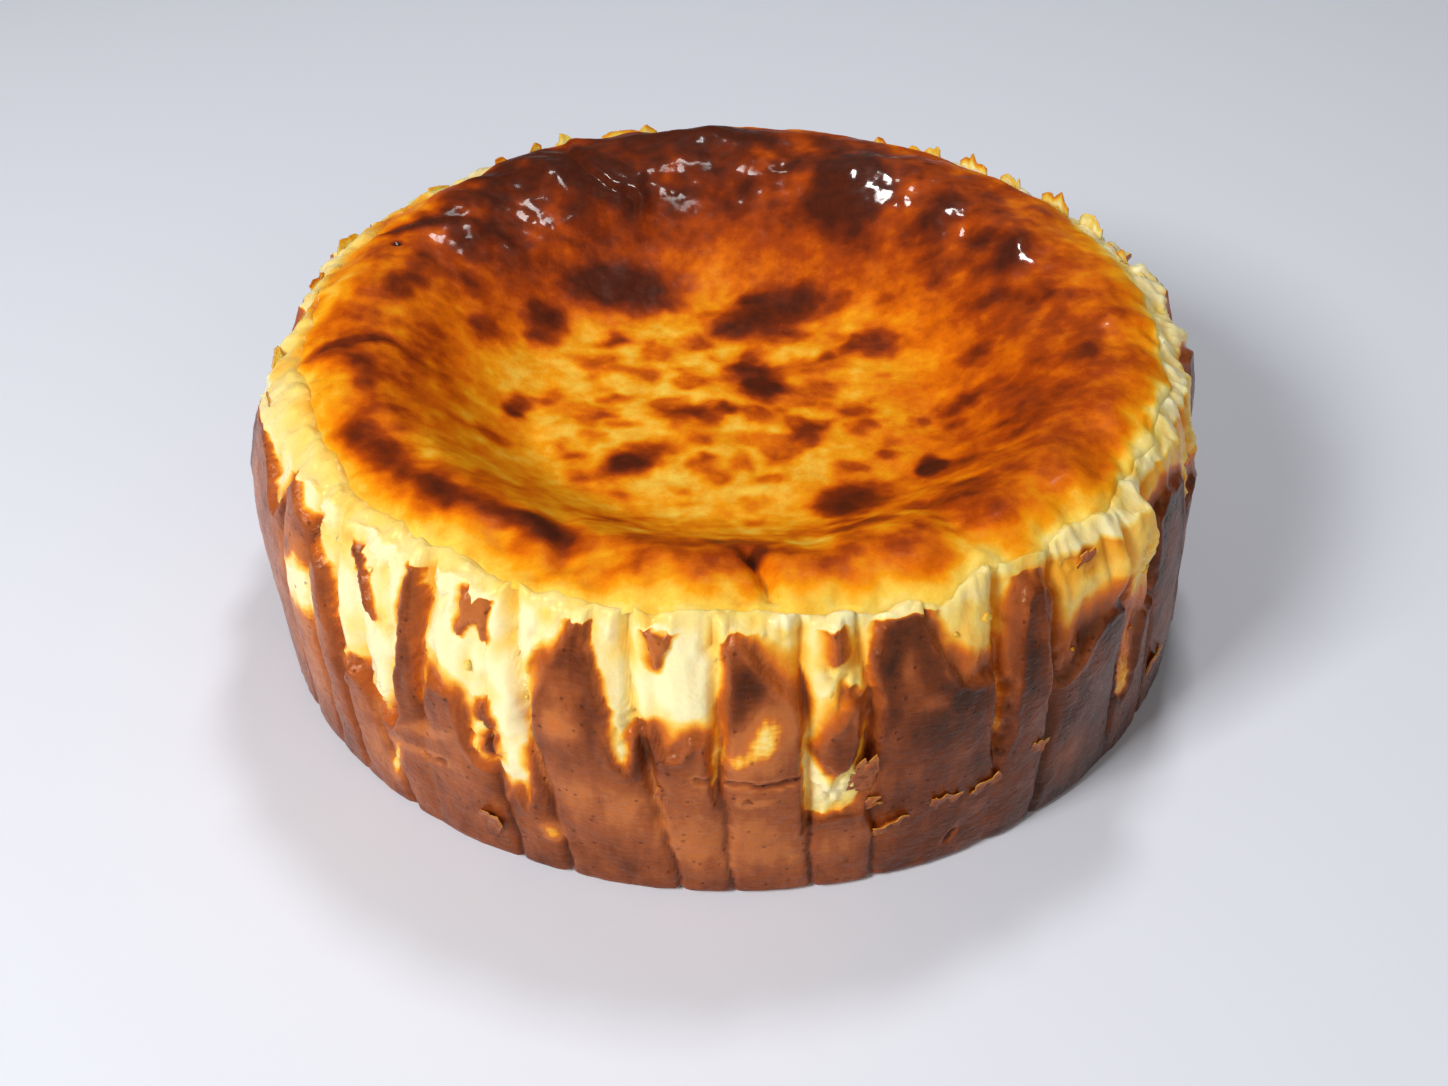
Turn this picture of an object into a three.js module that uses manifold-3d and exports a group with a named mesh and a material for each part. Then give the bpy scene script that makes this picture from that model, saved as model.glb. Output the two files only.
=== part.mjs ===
// A whole burnt Basque cheesecake, as it stands once the paper it was baked in has been peeled off.
// One solid: a flat foot, a wall pleated by the folds of the paper, a torn shelf where the paper
// took the skin with it, a puffed rim, and a middle that sank as the cake cooled.
// Millimetres, +Z up, origin on the resting face at the cake's axis, front towards -Y.
// Angles are in degrees round the axis, 0 at the front and growing towards +X.
import * as THREE from "three";
import { ImprovedNoise } from "three/addons/math/ImprovedNoise.js";
import { mergeVertices } from "three/addons/utils/BufferGeometryUtils.js";
import Module from "manifold-3d";

// Wall
const FOOT_RADIUS = 94.6;
const FOOT_ROUNDING = 1.2;
const WALL_BELLY = 0.5; // swell of the wall a little above the foot
const BELLY_HEIGHT = 24;
const WALL_TOP = 56; // where the wall ends and the torn shelf begins
const WALL_TOP_FRONT = 1.2; // that much higher at the front, and lower at the back
const SHOULDER_START = 34; // above this the wall leans in
const SHOULDER_LEAN = 3.2; // how far it has leaned in at its top
const SHOULDER_LEAN_FRONT = 2; // extra lean at the front, missing at the back

// Browned top
const LIP_RADIUS = 85.7; // edge of the top skin
const LIP_OVAL = 2.1; // wider from front to back than from side to side
const LIP_OFFSET = 1; // and set a little to the right
const LIP_HEIGHT = 59.4;
const LIP_TILT = 0.8; // higher at the back
const LIP_CURL = 1.6; // height of the skin's rolled edge
const LIP_OVERHANG = 0.3; // the shelf starts this far out from that edge
const RIM_RISE = 1.9; // crest of the rim above the edge
const CREST_INSET = 6.5; // from the edge in to the crest
const FLOOR_RADIUS = 37; // sunken middle
const FLOOR_HEIGHT = 45.5;
const FLOOR_DISH = 1.4; // how much the middle still dips to its centre

// Pleats
const GROOVE_WIDTH = 1.5; // half width of a groove
const GROOVE_FADE = 3; // height over which a groove begins and ends
const PLEAT_PILLOW = 0.7; // how far a pleat swells between its grooves
const TILT_START = 12; // pleats lie flat at the foot and stand out like shingles above
const TILT_FULL = 46;
const SKIN_STEP = 1.1; // torn wall lies this far behind the brown skin
const TEAR_SOFTNESS = 2.2; // height over which that step runs out
const SCALLOP = 2.6; // pleats end in rounded tops, lower at the grooves
const PLEAT_CORNER = 0.6; // share of that dip at a pleat's own corners
const CRAG_SIZE = 6.5;
const CRAG_RELIEF = 1.2;
const EDGE_THICKNESS = 1.5; // rounded outer edge of the shelf
const EDGE_CROWN = 0.5;
const FLAKE_THICKNESS = 1.2; // loose bits of skin
const FLAKE_ROOT = 3; // how far a standing shard reaches down into the cake
const TIP_BLUNTNESS = 0.12; // half width of a tip, as a share of the space between tips
const TIP_SLANT = 0.9; // the lower corner of a tip, as a share of its height
const SHARD_VALLEY = 0.5; // height between a shard's tips, as a share of the tips
const FLAKE_VALLEY = 0.84; // height of a flake's corners beside its peak

// Broad places where the wall stands in from its round: angle, half width in degrees, the heights
// between which the dent grows to its full depth, and that depth.
const WALL_DENTS = [
  { angle: 68, half: 24, from: 4, full: 36, depth: 2.2 },
  { angle: 266, half: 12, from: 40, full: 54, depth: 4.2 },
];

// Pleats that face the front, one for each groove: the groove's angle at the foot, how far it has
// leaned by LEAN_HEIGHT, its depth and the heights it runs between. The pleat to its right has the
// height that the brown skin still reaches, and how far its right edge stands out past its left one.
const LEAN_HEIGHT = 50;
const FRONT_PLEATS = [
  { angle: -58.5, lean: -1, depth: 1.1, from: 0, to: 60, skin: 50, tilt: -0.5 },
  { angle: -51.5, lean: -1, depth: 1.1, from: 4, to: 60, skin: 47, tilt: 0.5 },
  { angle: -46, lean: -2.2, depth: 2.4, from: 3, to: 60, skin: 27, tilt: -1 },
  { angle: -37.5, lean: -9, depth: 1.6, from: 0, to: 34, skin: 56, tilt: 0.8 },
  { angle: -34, lean: 0, depth: 1.7, from: 26, to: 60, skin: 37, tilt: -0.8 },
  { angle: -23, lean: -4, depth: 1.9, from: 0, to: 32, skin: 20, tilt: -0.8 },
  { angle: -17, lean: -5.5, depth: 2.2, from: 0, to: 60, skin: 54, tilt: -0.6 },
  { angle: -5, lean: -5.5, depth: 1.9, from: 0, to: 60, skin: 38, tilt: 0.5 },
  { angle: 0.3, lean: -2, depth: 1.5, from: 0, to: 60, skin: 55, tilt: -0.8 },
  { angle: 8.5, lean: -1.2, depth: 1.8, from: 0, to: 60, skin: 36, tilt: 0.5 },
  { angle: 15.5, lean: -2.2, depth: 1.4, from: 0, to: 60, skin: 52, tilt: 0.8 },
  { angle: 28.7, lean: 0, depth: 2.1, from: 20, to: 60, skin: 50, tilt: 1.6 },
  { angle: 35.5, lean: 0.5, depth: 1.7, from: 0, to: 60, skin: 44, tilt: 3.4 },
  { angle: 48.5, lean: -1.5, depth: 2.8, from: 8, to: 60, skin: 34, tilt: -0.6 },
  { angle: 57, lean: -1, depth: 1.3, from: 0, to: 60, skin: 50, tilt: 1 },
];

// The other pleats follow each other round the back, uneven in width, lean and depth.
const BACK_START = 66;
const BACK_END = 294;
const BACK_PLEAT_WIDTH = { least: 6.5, most: 12.5 };
const BACK_LEAN = { least: -4, most: 3 };
const BACK_DEPTH = { least: 1.2, most: 2.6 };
const BACK_SKIN = { least: 34, most: 56 };
const BACK_TILT = { least: -2.4, most: 2.4 };

// Thin shards of skin left standing on the shelf's outer edge: angle, width, and the height of each
// ragged tip from one side to the other.
const SHARDS = [
  { angle: 110, width: 7, tips: [3, 2.4] },
  { angle: 118.5, width: 4.5, tips: [6.4] },
  { angle: 124, width: 8, tips: [6.2, 5.8] },
  { angle: 130.5, width: 5, tips: [6.6] },
  { angle: 138.5, width: 6, tips: [3.4, 7.4] },
  { angle: 145, width: 8, tips: [6.4, 6.8] },
  { angle: 151, width: 8, tips: [3.8, 3.6] },
  { angle: 162, width: 5, tips: [5] },
  { angle: 177, width: 5, tips: [4.6] },
  { angle: 196.5, width: 12, tips: [4.6, 5.6, 6] },
  { angle: 204, width: 3.6, tips: [6.2] },
  { angle: 211.5, width: 12, tips: [9.2, 5.6, 8] },
  { angle: 243, width: 7, tips: [3.6, 3] },
  { angle: 253, width: 8, tips: [3, 3.6] },
];

// Curled flakes of skin on the wall: angle, height of the lower edge, size, how far the flake leans
// out from the wall, how far it is turned on it, and how deep its lower edge is sunk in, more where
// the wall is torn.
const FLAKES = [
  { angle: -42, height: 45, width: 3, tall: 9, lean: 15, turn: 28, sunk: 1.8 },
  { angle: -27.2, height: 50, width: 5, tall: 7, lean: 17, turn: -6, sunk: 1.8 },
  { angle: -27.5, height: 6, width: 5.5, tall: 9, lean: 16, turn: -32, sunk: 0.4 },
  { angle: -7.5, height: 51, width: 3.6, tall: 5.5, lean: 17, turn: 4, sunk: 1.8 },
  { angle: 10.5, height: 51, width: 3.6, tall: 6, lean: 14, turn: 0, sunk: 1.8 },
  { angle: 13, height: 24, width: 4.5, tall: 11, lean: 13, turn: -10, sunk: 0.9 },
  { angle: 12.5, height: 19, width: 2.4, tall: 7, lean: 16, turn: -58, sunk: 0.9 },
  { angle: 40.7, height: 54, width: 3.6, tall: 4, lean: 24, turn: 0, sunk: 1.2 },
  { angle: 59, height: 7, width: 7, tall: 10, lean: 16, turn: -8, sunk: 0.9 },
];

// Puffed lobes of the rim and blisters of the browned top, in plan: centre, half sizes, turn of the
// longer side from +X, and rise. A negative rise is a dent.
const LUMPS = [
  { x: -11, y: -79, long: 15, short: 6, turn: -8, rise: 1.7 },
  { x: 24, y: -76, long: 14, short: 6, turn: 17, rise: 1.5 },
  { x: 52, y: -60, long: 12, short: 6, turn: 41, rise: 1.3 },
  { x: -47, y: -62, long: 14, short: 7, turn: -37, rise: 1.2 },
  { x: -74, y: -22, long: 12, short: 7, turn: -72, rise: 1.4 },
  { x: -75, y: 14, long: 10, short: 7, turn: -100, rise: 1.6 },
  { x: -62, y: 44, long: 12, short: 7, turn: 55, rise: 1.2 },
  { x: 76, y: 8, long: 14, short: 6, turn: 84, rise: 1.2 },
  { x: 72, y: -28, long: 10, short: 6, turn: 68, rise: 1.3 },
  { x: -72, y: -4, long: 10, short: 3.5, turn: 5, rise: -1.5 },
  { x: -66, y: 27, long: 11, short: 4, turn: -20, rise: -1.6 },
  { x: 28, y: 63, long: 10, short: 9, turn: 60, rise: 2.6 },
  { x: -32, y: 62, long: 13, short: 9, turn: -25, rise: 2.3 },
  { x: -55, y: 55, long: 6, short: 5, turn: 0, rise: 1.2 },
  { x: -6, y: 78, long: 11, short: 5, turn: 0, rise: 1.4 },
  { x: 59, y: 27, long: 8, short: 5, turn: 65, rise: 1.9 },
  { x: 46, y: 43, long: 6, short: 5, turn: 20, rise: 1.3 },
  { x: 10, y: 29, long: 12, short: 8, turn: 25, rise: 0.7 },
  { x: -22, y: 38, long: 12, short: 8, turn: 10, rise: 0.8 },
  { x: 22, y: -43, long: 8, short: 6, turn: 70, rise: 0.7 },
];

// Creases that pinch the rim: two ends in plan, half width and depth.
const CREASES = [
  { from: [6.6, -88], to: [6, -73], width: 2.2, depth: 3.2 },
  { from: [-25, -78], to: [-29, -62], width: 2.6, depth: 1.2 },
  { from: [42, -72], to: [37, -62], width: 2.6, depth: 1.2 },
];

// Rings of the mesh along the profile
const WALL_RINGS = 15;
const TOP_RINGS = 14;
const TOP_INNER_RADIUS = 9; // the innermost ring round the axis
const RIM_CROWDING = 1.35; // rings lie closer together at the rim than in the middle
const GROOVE_LINE_OFFSET = 0.95; // mesh lines on both sides of a groove, in degrees
const WIDEST_STEP = 3.4; // most degrees between two mesh lines
const SEAM = 1e-3; // points closer than this are one point
const FINEST_DETAIL = 0.02; // slivers thinner than this are smoothed away after joining

const GOLDEN_STEP = 0.6180339887; // its multiples spread evenly over 0 to 1
const spread = (count, { least, most }) => least + (most - least) * ((count * GOLDEN_STEP) % 1);
const { clamp, lerp, smoothstep, degToRad } = THREE.MathUtils;
const crag = new ImprovedNoise();

// Angle from one direction to another, within half a turn either way.
const turnBetween = (from, to) => ((((to - from) % 360) + 540) % 360) - 180;

// Pleats all the way round, from the left of the front.
function allPleats() {
  const pleats = FRONT_PLEATS.slice();
  let angle = BACK_START;
  for (let count = 1; angle < BACK_END; count++) {
    pleats.push({
      angle,
      lean: spread(3 * count, BACK_LEAN),
      depth: spread(5 * count, BACK_DEPTH),
      from: 0,
      to: 60,
      skin: spread(7 * count, BACK_SKIN),
      tilt: spread(11 * count, BACK_TILT),
    });
    angle += spread(count, BACK_PLEAT_WIDTH);
  }
  return pleats;
}

const PLEATS = allPleats();

// The groove on the left of a pleat at a height; counts past the last pleat go on round the cake.
function grooveAngle(index, height) {
  const turns = Math.floor(index / PLEATS.length);
  const { angle, lean, to } = PLEATS[index - turns * PLEATS.length];
  return angle + 360 * turns + (lean * clamp(height, 0, to)) / LEAN_HEIGHT;
}

// Mesh lines run up the wall beside each groove and at even steps across each pleat.
function meshLines() {
  const lines = [];
  PLEATS.forEach((_, index) => {
    const width = grooveAngle(index + 1, 0) - grooveAngle(index, 0) - 2 * GROOVE_LINE_OFFSET;
    const steps = Math.max(1, Math.round(width / WIDEST_STEP));
    lines.push({ index, offset: 0 });
    for (let step = 0; step <= steps; step++) lines.push({ index, share: step / steps });
  });
  return lines;
}

const LINES = meshLines();

function lineAngle({ index, offset, share }, height) {
  const left = grooveAngle(index, height);
  if (offset === 0) return left;
  const right = grooveAngle(index + 1, height);
  return lerp(left + GROOVE_LINE_OFFSET, right - GROOVE_LINE_OFFSET, share);
}

const lipRadius = (angle) =>
  LIP_RADIUS + LIP_OVAL * Math.cos(degToRad(2 * angle)) + LIP_OFFSET * Math.sin(degToRad(angle));
const lipHeight = (angle) => LIP_HEIGHT - LIP_TILT * Math.cos(degToRad(angle));

function wallRadius(angle, height) {
  const lean = SHOULDER_LEAN + SHOULDER_LEAN_FRONT * Math.cos(degToRad(angle));
  const up = Math.max(0, height - SHOULDER_START) / (WALL_TOP - SHOULDER_START);
  const belly = WALL_BELLY * Math.sin(Math.PI * clamp(height / (2 * BELLY_HEIGHT), 0, 1));
  let dent = 0;
  for (const { angle: middle, half, from, full, depth } of WALL_DENTS) {
    const across = turnBetween(middle, angle) / half;
    dent += depth * Math.exp(-across * across) * smoothstep(height, from, full);
  }
  return FOOT_RADIUS + belly - lean * up * up - dent;
}

// How deep the wall lies behind its smooth form in the grooves beside a mesh line.
function grooveDepth(angle, height) {
  let depth = 0;
  PLEATS.forEach((pleat, index) => {
    const away = degToRad(turnBetween(grooveAngle(index, height), angle)) * FOOT_RADIUS;
    if (Math.abs(away) > 4 * GROOVE_WIDTH) return;
    const begun = smoothstep(height, pleat.from - GROOVE_FADE, pleat.from + GROOVE_FADE);
    const ended = smoothstep(height, pleat.to - GROOVE_FADE, pleat.to + GROOVE_FADE);
    depth = Math.max(depth, pleat.depth * (begun - ended) * Math.exp(-((away / GROOVE_WIDTH) ** 2)));
  });
  return depth;
}

const cragRelief = (x, y, z) => CRAG_RELIEF * crag.noise(x / CRAG_SIZE, y / CRAG_SIZE, z / CRAG_SIZE);

// Share of a pleat's width from its left groove, for the pleat that a mesh line lies on.
function pleatShare(line) {
  if (line.offset === 0) return 0;
  return line.share;
}

function wallPoint(line, height) {
  const angle = lineAngle(line, height);
  const turn = degToRad(angle);
  const smooth = wallRadius(angle, height);
  const { skin, tilt } = PLEATS[line.index];
  const torn = smoothstep(height, skin - TEAR_SOFTNESS, skin + TEAR_SOFTNESS);
  const across = pleatShare(line);
  const pillow = PLEAT_PILLOW * 4 * across * (1 - across);
  const shingle = tilt * (across - 0.5) * smoothstep(height, TILT_START, TILT_FULL);
  const rough = torn * cragRelief(smooth * Math.sin(turn), -smooth * Math.cos(turn), height);
  const radius = smooth + pillow + shingle - grooveDepth(angle, height) - SKIN_STEP * torn + rough;
  return { angle, radius, height };
}

// Height of a pleat's rounded top.
function wallTop(line) {
  const across = pleatShare(line);
  const dip = line.offset === 0 ? SCALLOP : PLEAT_CORNER * SCALLOP * (1 - 4 * across * (1 - across));
  const front = Math.cos(degToRad(lineAngle(line, WALL_TOP)));
  return WALL_TOP + WALL_TOP_FRONT * front - dip;
}

// Relief of the browned top at a place in plan.
function lumpRise(x, y) {
  let rise = 0;
  for (const lump of LUMPS) {
    const turn = degToRad(lump.turn);
    const along = ((x - lump.x) * Math.cos(turn) + (y - lump.y) * Math.sin(turn)) / lump.long;
    const across = ((y - lump.y) * Math.cos(turn) - (x - lump.x) * Math.sin(turn)) / lump.short;
    rise += lump.rise * Math.exp(-along * along - across * across);
  }
  return rise;
}

function creaseDepth(x, y) {
  const place = new THREE.Vector3(x, y, 0);
  let depth = 0;
  for (const crease of CREASES) {
    const run = new THREE.Line3(new THREE.Vector3(...crease.from), new THREE.Vector3(...crease.to));
    const away = run.closestPointToPoint(place, true, new THREE.Vector3()).distanceTo(place);
    depth = Math.max(depth, crease.depth * Math.exp(-((away / crease.width) ** 2)));
  }
  return depth;
}

function topHeight(angle, radius) {
  const edge = lipRadius(angle);
  const crestRadius = edge - CREST_INSET;
  const crestHeight = lipHeight(angle) + RIM_RISE;
  const x = radius * Math.sin(degToRad(angle));
  const y = -radius * Math.cos(degToRad(angle));
  const relief = lumpRise(x, y) - creaseDepth(x, y);
  if (radius > crestRadius) return crestHeight - RIM_RISE * ((radius - crestRadius) / CREST_INSET) ** 2 + relief;
  const floor = FLOOR_HEIGHT + FLOOR_DISH * ((radius / FLOOR_RADIUS) ** 2 - 1) * (radius < FLOOR_RADIUS);
  return lerp(floor, crestHeight, smoothstep(radius, FLOOR_RADIUS, crestRadius)) + relief;
}

// The cake's profile on one mesh line, from the middle of the foot over the rim to the middle of the top.
function profileOn(line) {
  const points = [{ angle: 0, radius: 0, height: 0 }];
  const foot = wallPoint(line, 0);
  points.push({ ...foot, radius: foot.radius - FOOT_ROUNDING });
  const top = wallTop(line);
  for (let ring = 0; ring < WALL_RINGS; ring++)
    points.push(wallPoint(line, lerp(FOOT_ROUNDING, top, ring / (WALL_RINGS - 1))));

  const { angle, radius: outer } = points[points.length - 1];
  const edge = lipRadius(angle);
  const under = topHeight(angle, edge) - LIP_CURL;
  const inner = outer - EDGE_THICKNESS;
  const middle = (inner + edge) / 2;
  const turn = degToRad(angle);
  const rough = cragRelief(middle * Math.sin(turn), -middle * Math.cos(turn), top);
  points.push({ angle, radius: inner, height: top + EDGE_CROWN });
  points.push({ angle, radius: middle, height: (top + under) / 2 + rough });
  points.push({ angle, radius: edge + LIP_OVERHANG, height: under });

  for (let ring = 0; ring < TOP_RINGS; ring++) {
    const radius = lerp(edge, TOP_INNER_RADIUS, (ring / (TOP_RINGS - 1)) ** RIM_CROWDING);
    points.push({ angle, radius, height: topHeight(angle, radius) });
  }
  points.push({ angle: 0, radius: 0, height: topHeight(0, 0) });
  return points;
}

function cakeGeometry() {
  const profiles = LINES.map(profileOn);
  const rings = profiles[0].length;
  const geometry = new THREE.LatheGeometry(
    profiles[0].map(({ radius, height }) => new THREE.Vector2(radius, height)),
    LINES.length,
  );
  const position = geometry.getAttribute("position");
  for (let turn = 0; turn <= LINES.length; turn++) {
    profiles[turn % LINES.length].forEach(({ angle, radius, height }, ring) => {
      const around = degToRad(angle);
      position.setXYZ(turn * rings + ring, radius * Math.sin(around), -radius * Math.cos(around), height);
    });
  }
  geometry.computeVertexNormals();
  return geometry;
}

// A bit of skin as a flat plate, its lower edge along the local X axis and its upper edge ragged, with
// valleys between the tips down to a share of their height.
function raggedPlate(width, tips, root, valley) {
  const outline = new THREE.Shape();
  const step = width / tips.length;
  outline.moveTo(-width / 2, -root);
  outline.lineTo(width / 2, -root);
  outline.lineTo(width / 2, valley * tips[tips.length - 1]);
  for (let tip = tips.length - 1; tip >= 0; tip--) {
    const middle = -width / 2 + (tip + 0.5) * step;
    outline.lineTo(middle + TIP_BLUNTNESS * step, tips[tip]);
    outline.lineTo(middle - TIP_BLUNTNESS * step, TIP_SLANT * tips[tip]);
    if (tip > 0) outline.lineTo(middle - 0.5 * step, valley * Math.min(tips[tip], tips[tip - 1]));
  }
  outline.lineTo(-width / 2, valley * tips[0]);
  return new THREE.ExtrudeGeometry(outline, { depth: FLAKE_THICKNESS, bevelEnabled: false });
}

// Stands a plate on the cake: X along the wall, Y up, Z outwards.
function standAt(plate, angle, radius, height) {
  const turn = degToRad(angle);
  const along = new THREE.Vector3(Math.cos(turn), Math.sin(turn), 0);
  const out = new THREE.Vector3(Math.sin(turn), -Math.cos(turn), 0);
  const place = new THREE.Matrix4().makeBasis(along, new THREE.Vector3(0, 0, 1), out);
  return plate.applyMatrix4(place.setPosition(radius * out.x, radius * out.y, height));
}

function shardPlate({ angle, width, tips }) {
  const height = WALL_TOP + WALL_TOP_FRONT * Math.cos(degToRad(angle));
  const radius = wallRadius(angle, height) - SKIN_STEP - FLAKE_THICKNESS;
  return standAt(raggedPlate(width, tips, FLAKE_ROOT, SHARD_VALLEY), angle, radius, height);
}

function flakePlate({ angle, height, width, tall, lean, turn, sunk }) {
  const plate = raggedPlate(width, [tall], 0, FLAKE_VALLEY);
  plate.rotateX(degToRad(lean)).rotateZ(degToRad(turn));
  return standAt(plate, angle, wallRadius(angle, height) - sunk - FLAKE_THICKNESS, height);
}

const wasm = await Module();
wasm.setup();

function solidOf(geometry) {
  geometry.deleteAttribute("normal");
  geometry.deleteAttribute("uv");
  const merged = mergeVertices(geometry, SEAM);
  const vertProperties = merged.getAttribute("position").array;
  const triVerts = new Uint32Array(merged.index.array);
  return new wasm.Manifold(new wasm.Mesh({ numProp: 3, vertProperties, triVerts }));
}

function geometryOf(solid) {
  const { vertProperties, triVerts } = solid.getMesh();
  const geometry = new THREE.BufferGeometry();
  geometry.setAttribute("position", new THREE.BufferAttribute(vertProperties, 3));
  geometry.setIndex(new THREE.BufferAttribute(triVerts, 1));
  geometry.computeVertexNormals();
  return geometry;
}

// The cake with its shards and flakes grown onto it.
const plates = [...SHARDS.map(shardPlate), ...FLAKES.map(flakePlate)];
const whole = plates.reduce((solid, plate) => solid.add(solidOf(plate)), solidOf(cakeGeometry()));

const bakedCrust = new THREE.MeshStandardMaterial({ color: 0xc8842c, roughness: 0.45, metalness: 0 });
const cake = new THREE.Mesh(geometryOf(whole.simplify(FINEST_DETAIL)), bakedCrust);
cake.name = "cake";

const cheesecake = new THREE.Group();
cheesecake.add(cake);

export default cheesecake;
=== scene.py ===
import math

import bmesh
import bpy
import numpy as np
from mathutils import Matrix, Vector


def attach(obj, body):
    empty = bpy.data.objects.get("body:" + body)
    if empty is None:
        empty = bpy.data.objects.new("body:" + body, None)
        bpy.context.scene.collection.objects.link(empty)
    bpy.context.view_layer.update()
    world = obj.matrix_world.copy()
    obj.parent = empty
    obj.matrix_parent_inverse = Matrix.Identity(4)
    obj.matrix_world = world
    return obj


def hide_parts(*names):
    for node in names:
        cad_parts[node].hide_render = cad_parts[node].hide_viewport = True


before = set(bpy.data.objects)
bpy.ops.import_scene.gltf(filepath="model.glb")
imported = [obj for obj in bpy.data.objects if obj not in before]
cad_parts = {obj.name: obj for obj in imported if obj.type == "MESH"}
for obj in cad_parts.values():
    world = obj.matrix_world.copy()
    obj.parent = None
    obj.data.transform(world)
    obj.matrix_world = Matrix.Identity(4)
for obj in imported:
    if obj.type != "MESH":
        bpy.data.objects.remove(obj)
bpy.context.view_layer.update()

# The browned top: a soft skin of caramelised custard that puffed up into a roll at the rim and sank
# in the middle as it cooled. It grew in one with the cake below, and its lip ends on the torn shelf.
# Sizes are in millimetres, and angles in degrees round the axis, 0 at the front, growing rightwards.
MM = 0.001
LIP_RADIUS = 85.7
LIP_OVAL = 2.1
LIP_OFFSET = 1
LIP_HEIGHT = 59.4
LIP_TILT = 0.8
LIP_CURL = 1.6
LIP_UNDERCUT = 6
LIP_WAVE_FALL = 9
RIM_RISE = 2.2
RIM_ROUNDNESS = 2.4
CREST_INSET = 10.5
FLOOR_FRONT = 44
FLOOR_BACK = 24
FLOOR_HEIGHT = 45.5
FLOOR_DISH = 1.4
CRUST = 4
TOP_LINES = 640
TOP_RINGS = 128
UNDERSIDE_RADII = (0, 25, 50, 68)
EDGE_STEPS = 6
RIM_CROWDING = 1.2
SEAM = 1e-3
# Lobes of the rim and blisters, in plan: centre, half sizes, turn of the longer side, and rise.
LUMPS = [
    (-11, -77, 15, 7, -8, 0.8), (24, -74, 14, 7, 17, 0.9), (52, -58, 12, 7, 41, 1.1),
    (-47, -61, 14, 8, -37, 1.0), (-72, -26, 12, 8, -70, 2.0), (-74, 10, 12, 8, -97, 2.3),
    (-62, 45, 12, 7, 55, 1.9), (76, 8, 14, 6, 84, 1.2), (72, -28, 10, 6, 68, 1.3),
    (28, 57, 10, 8, 60, 2.8), (-38, 56, 13, 6, -42, 2.2), (-55, 55, 6, 5, 0, 1.2),
    (-6, 78, 11, 5, 0, 1.2), (59, 27, 8, 5, 65, 1.9), (46, 43, 6, 5, 20, 1.3),
    (22, -43, 8, 6, 70, 0.5), (5, 66, 7, 5, 20, 0.9), (-10, 66, 8, 5, -10, 0.8),
    (14, -66, 4.5, 9, 0, -1.2), (48, 55, 9, 5, -40, 1), (66, -12, 7, 4, 80, 1), (55, -48, 6, 4, 40, 0.8),
]
# Creases that pinch the rim: two ends in plan, half width and depth.
CREASES = [
    (6.4, -83, 2.5, -72, 1.3, 2.6), (-27, -76, -29, -60, 2.6, 1.4), (37, -66, 34, -54, 2.4, 1.3),
]
# Folds, where one lobe laps over the next: two ends in plan with the lapping side on the left of
# the way from the first to the second, then the height of the step.
FOLDS = [
    (-61, -12, -81, -14, 0.8), (-58, 37, -75, 31, 0.9), (-38, 73, -22, 52, 1.2), (54, 38, 61, 6, 0.9),
    (38, -66, 42, -56, 0.6),
]
# How far and over what length the folds bend, half the width of a step, how far from its line the
# step reaches, and half the width of the line.
FOLD_BEND = 4
FOLD_BEND_SIZE = 12
FOLD_STEP_HALF = 1.2
FOLD_REACH = 6
FOLD_LINE = 1.8
# Noise for lumps, wobbles and blotches: its seed, how many slopes it picks from, how far it moves on
# for each finer layer, and what brings its peaks to about 1.
NOISE_SEED = 7
NOISE_SLOPES = 256
NOISE_SHIFT = 31.7
NOISE_GAIN = 1.5


def ease(value, start, end):
    """0 up to the start, 1 from the end, and a soft rise between them."""
    share = np.clip((value - start) / (end - start), 0, 1)
    return share * share * (3 - 2 * share)


noise_rng = np.random.default_rng(NOISE_SEED)
noise_slopes = noise_rng.normal(size=(NOISE_SLOPES, 3))
noise_slopes /= np.linalg.norm(noise_slopes, axis=1, keepdims=True)
noise_order = noise_rng.permutation(NOISE_SLOPES)


def lumpy(places, size, octaves=1):
    """Uneven numbers from about -1 to 1 over places in space, with lumps of that size."""
    total = np.zeros(len(places))
    for octave in range(octaves):
        spots = places / size * 2**octave + NOISE_SHIFT * octave
        cells = np.floor(spots).astype(int)
        parts = spots - cells
        blend = parts**3 * (parts * (parts * 6 - 15) + 10)
        for corner in np.ndindex(2, 2, 2):
            pick = 0
            for cell in (cells + corner).T[::-1]:
                pick = noise_order[(cell + pick) % NOISE_SLOPES]
            rise = np.sum(noise_slopes[pick] * (parts - corner), axis=1)
            near = np.prod(np.where(corner, blend, 1 - blend), axis=1)
            total += NOISE_GAIN * rise * near / 2**octave
    return total


def round_place(angle, radius, height):
    """Places in space of points given by angle, radius and height."""
    turn = np.radians(angle)
    return np.stack([radius * np.sin(turn), -radius * np.cos(turn), height + 0 * turn], axis=-1)


def soft_oval(off, up, half_wide, half_high, turn, sharpness):
    """1 in the middle of an oval, falling softly to 0 beyond its edge."""
    tilt = math.radians(turn)
    along = (off * math.cos(tilt) + up * math.sin(tilt)) / half_wide
    across = (up * math.cos(tilt) - off * math.sin(tilt)) / half_high
    return np.exp(-((along**2 + across**2) ** sharpness))


def plan_sum(x, y, blots, sharpness=1.0):
    """Sum of soft oval blots given by centre, half sizes, turn of the longer side and amount."""
    total = np.zeros(len(x))
    for middle_x, middle_y, *oval, amount in blots:
        total += amount * soft_oval(x - middle_x, y - middle_y, *oval, sharpness)
    return total


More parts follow.
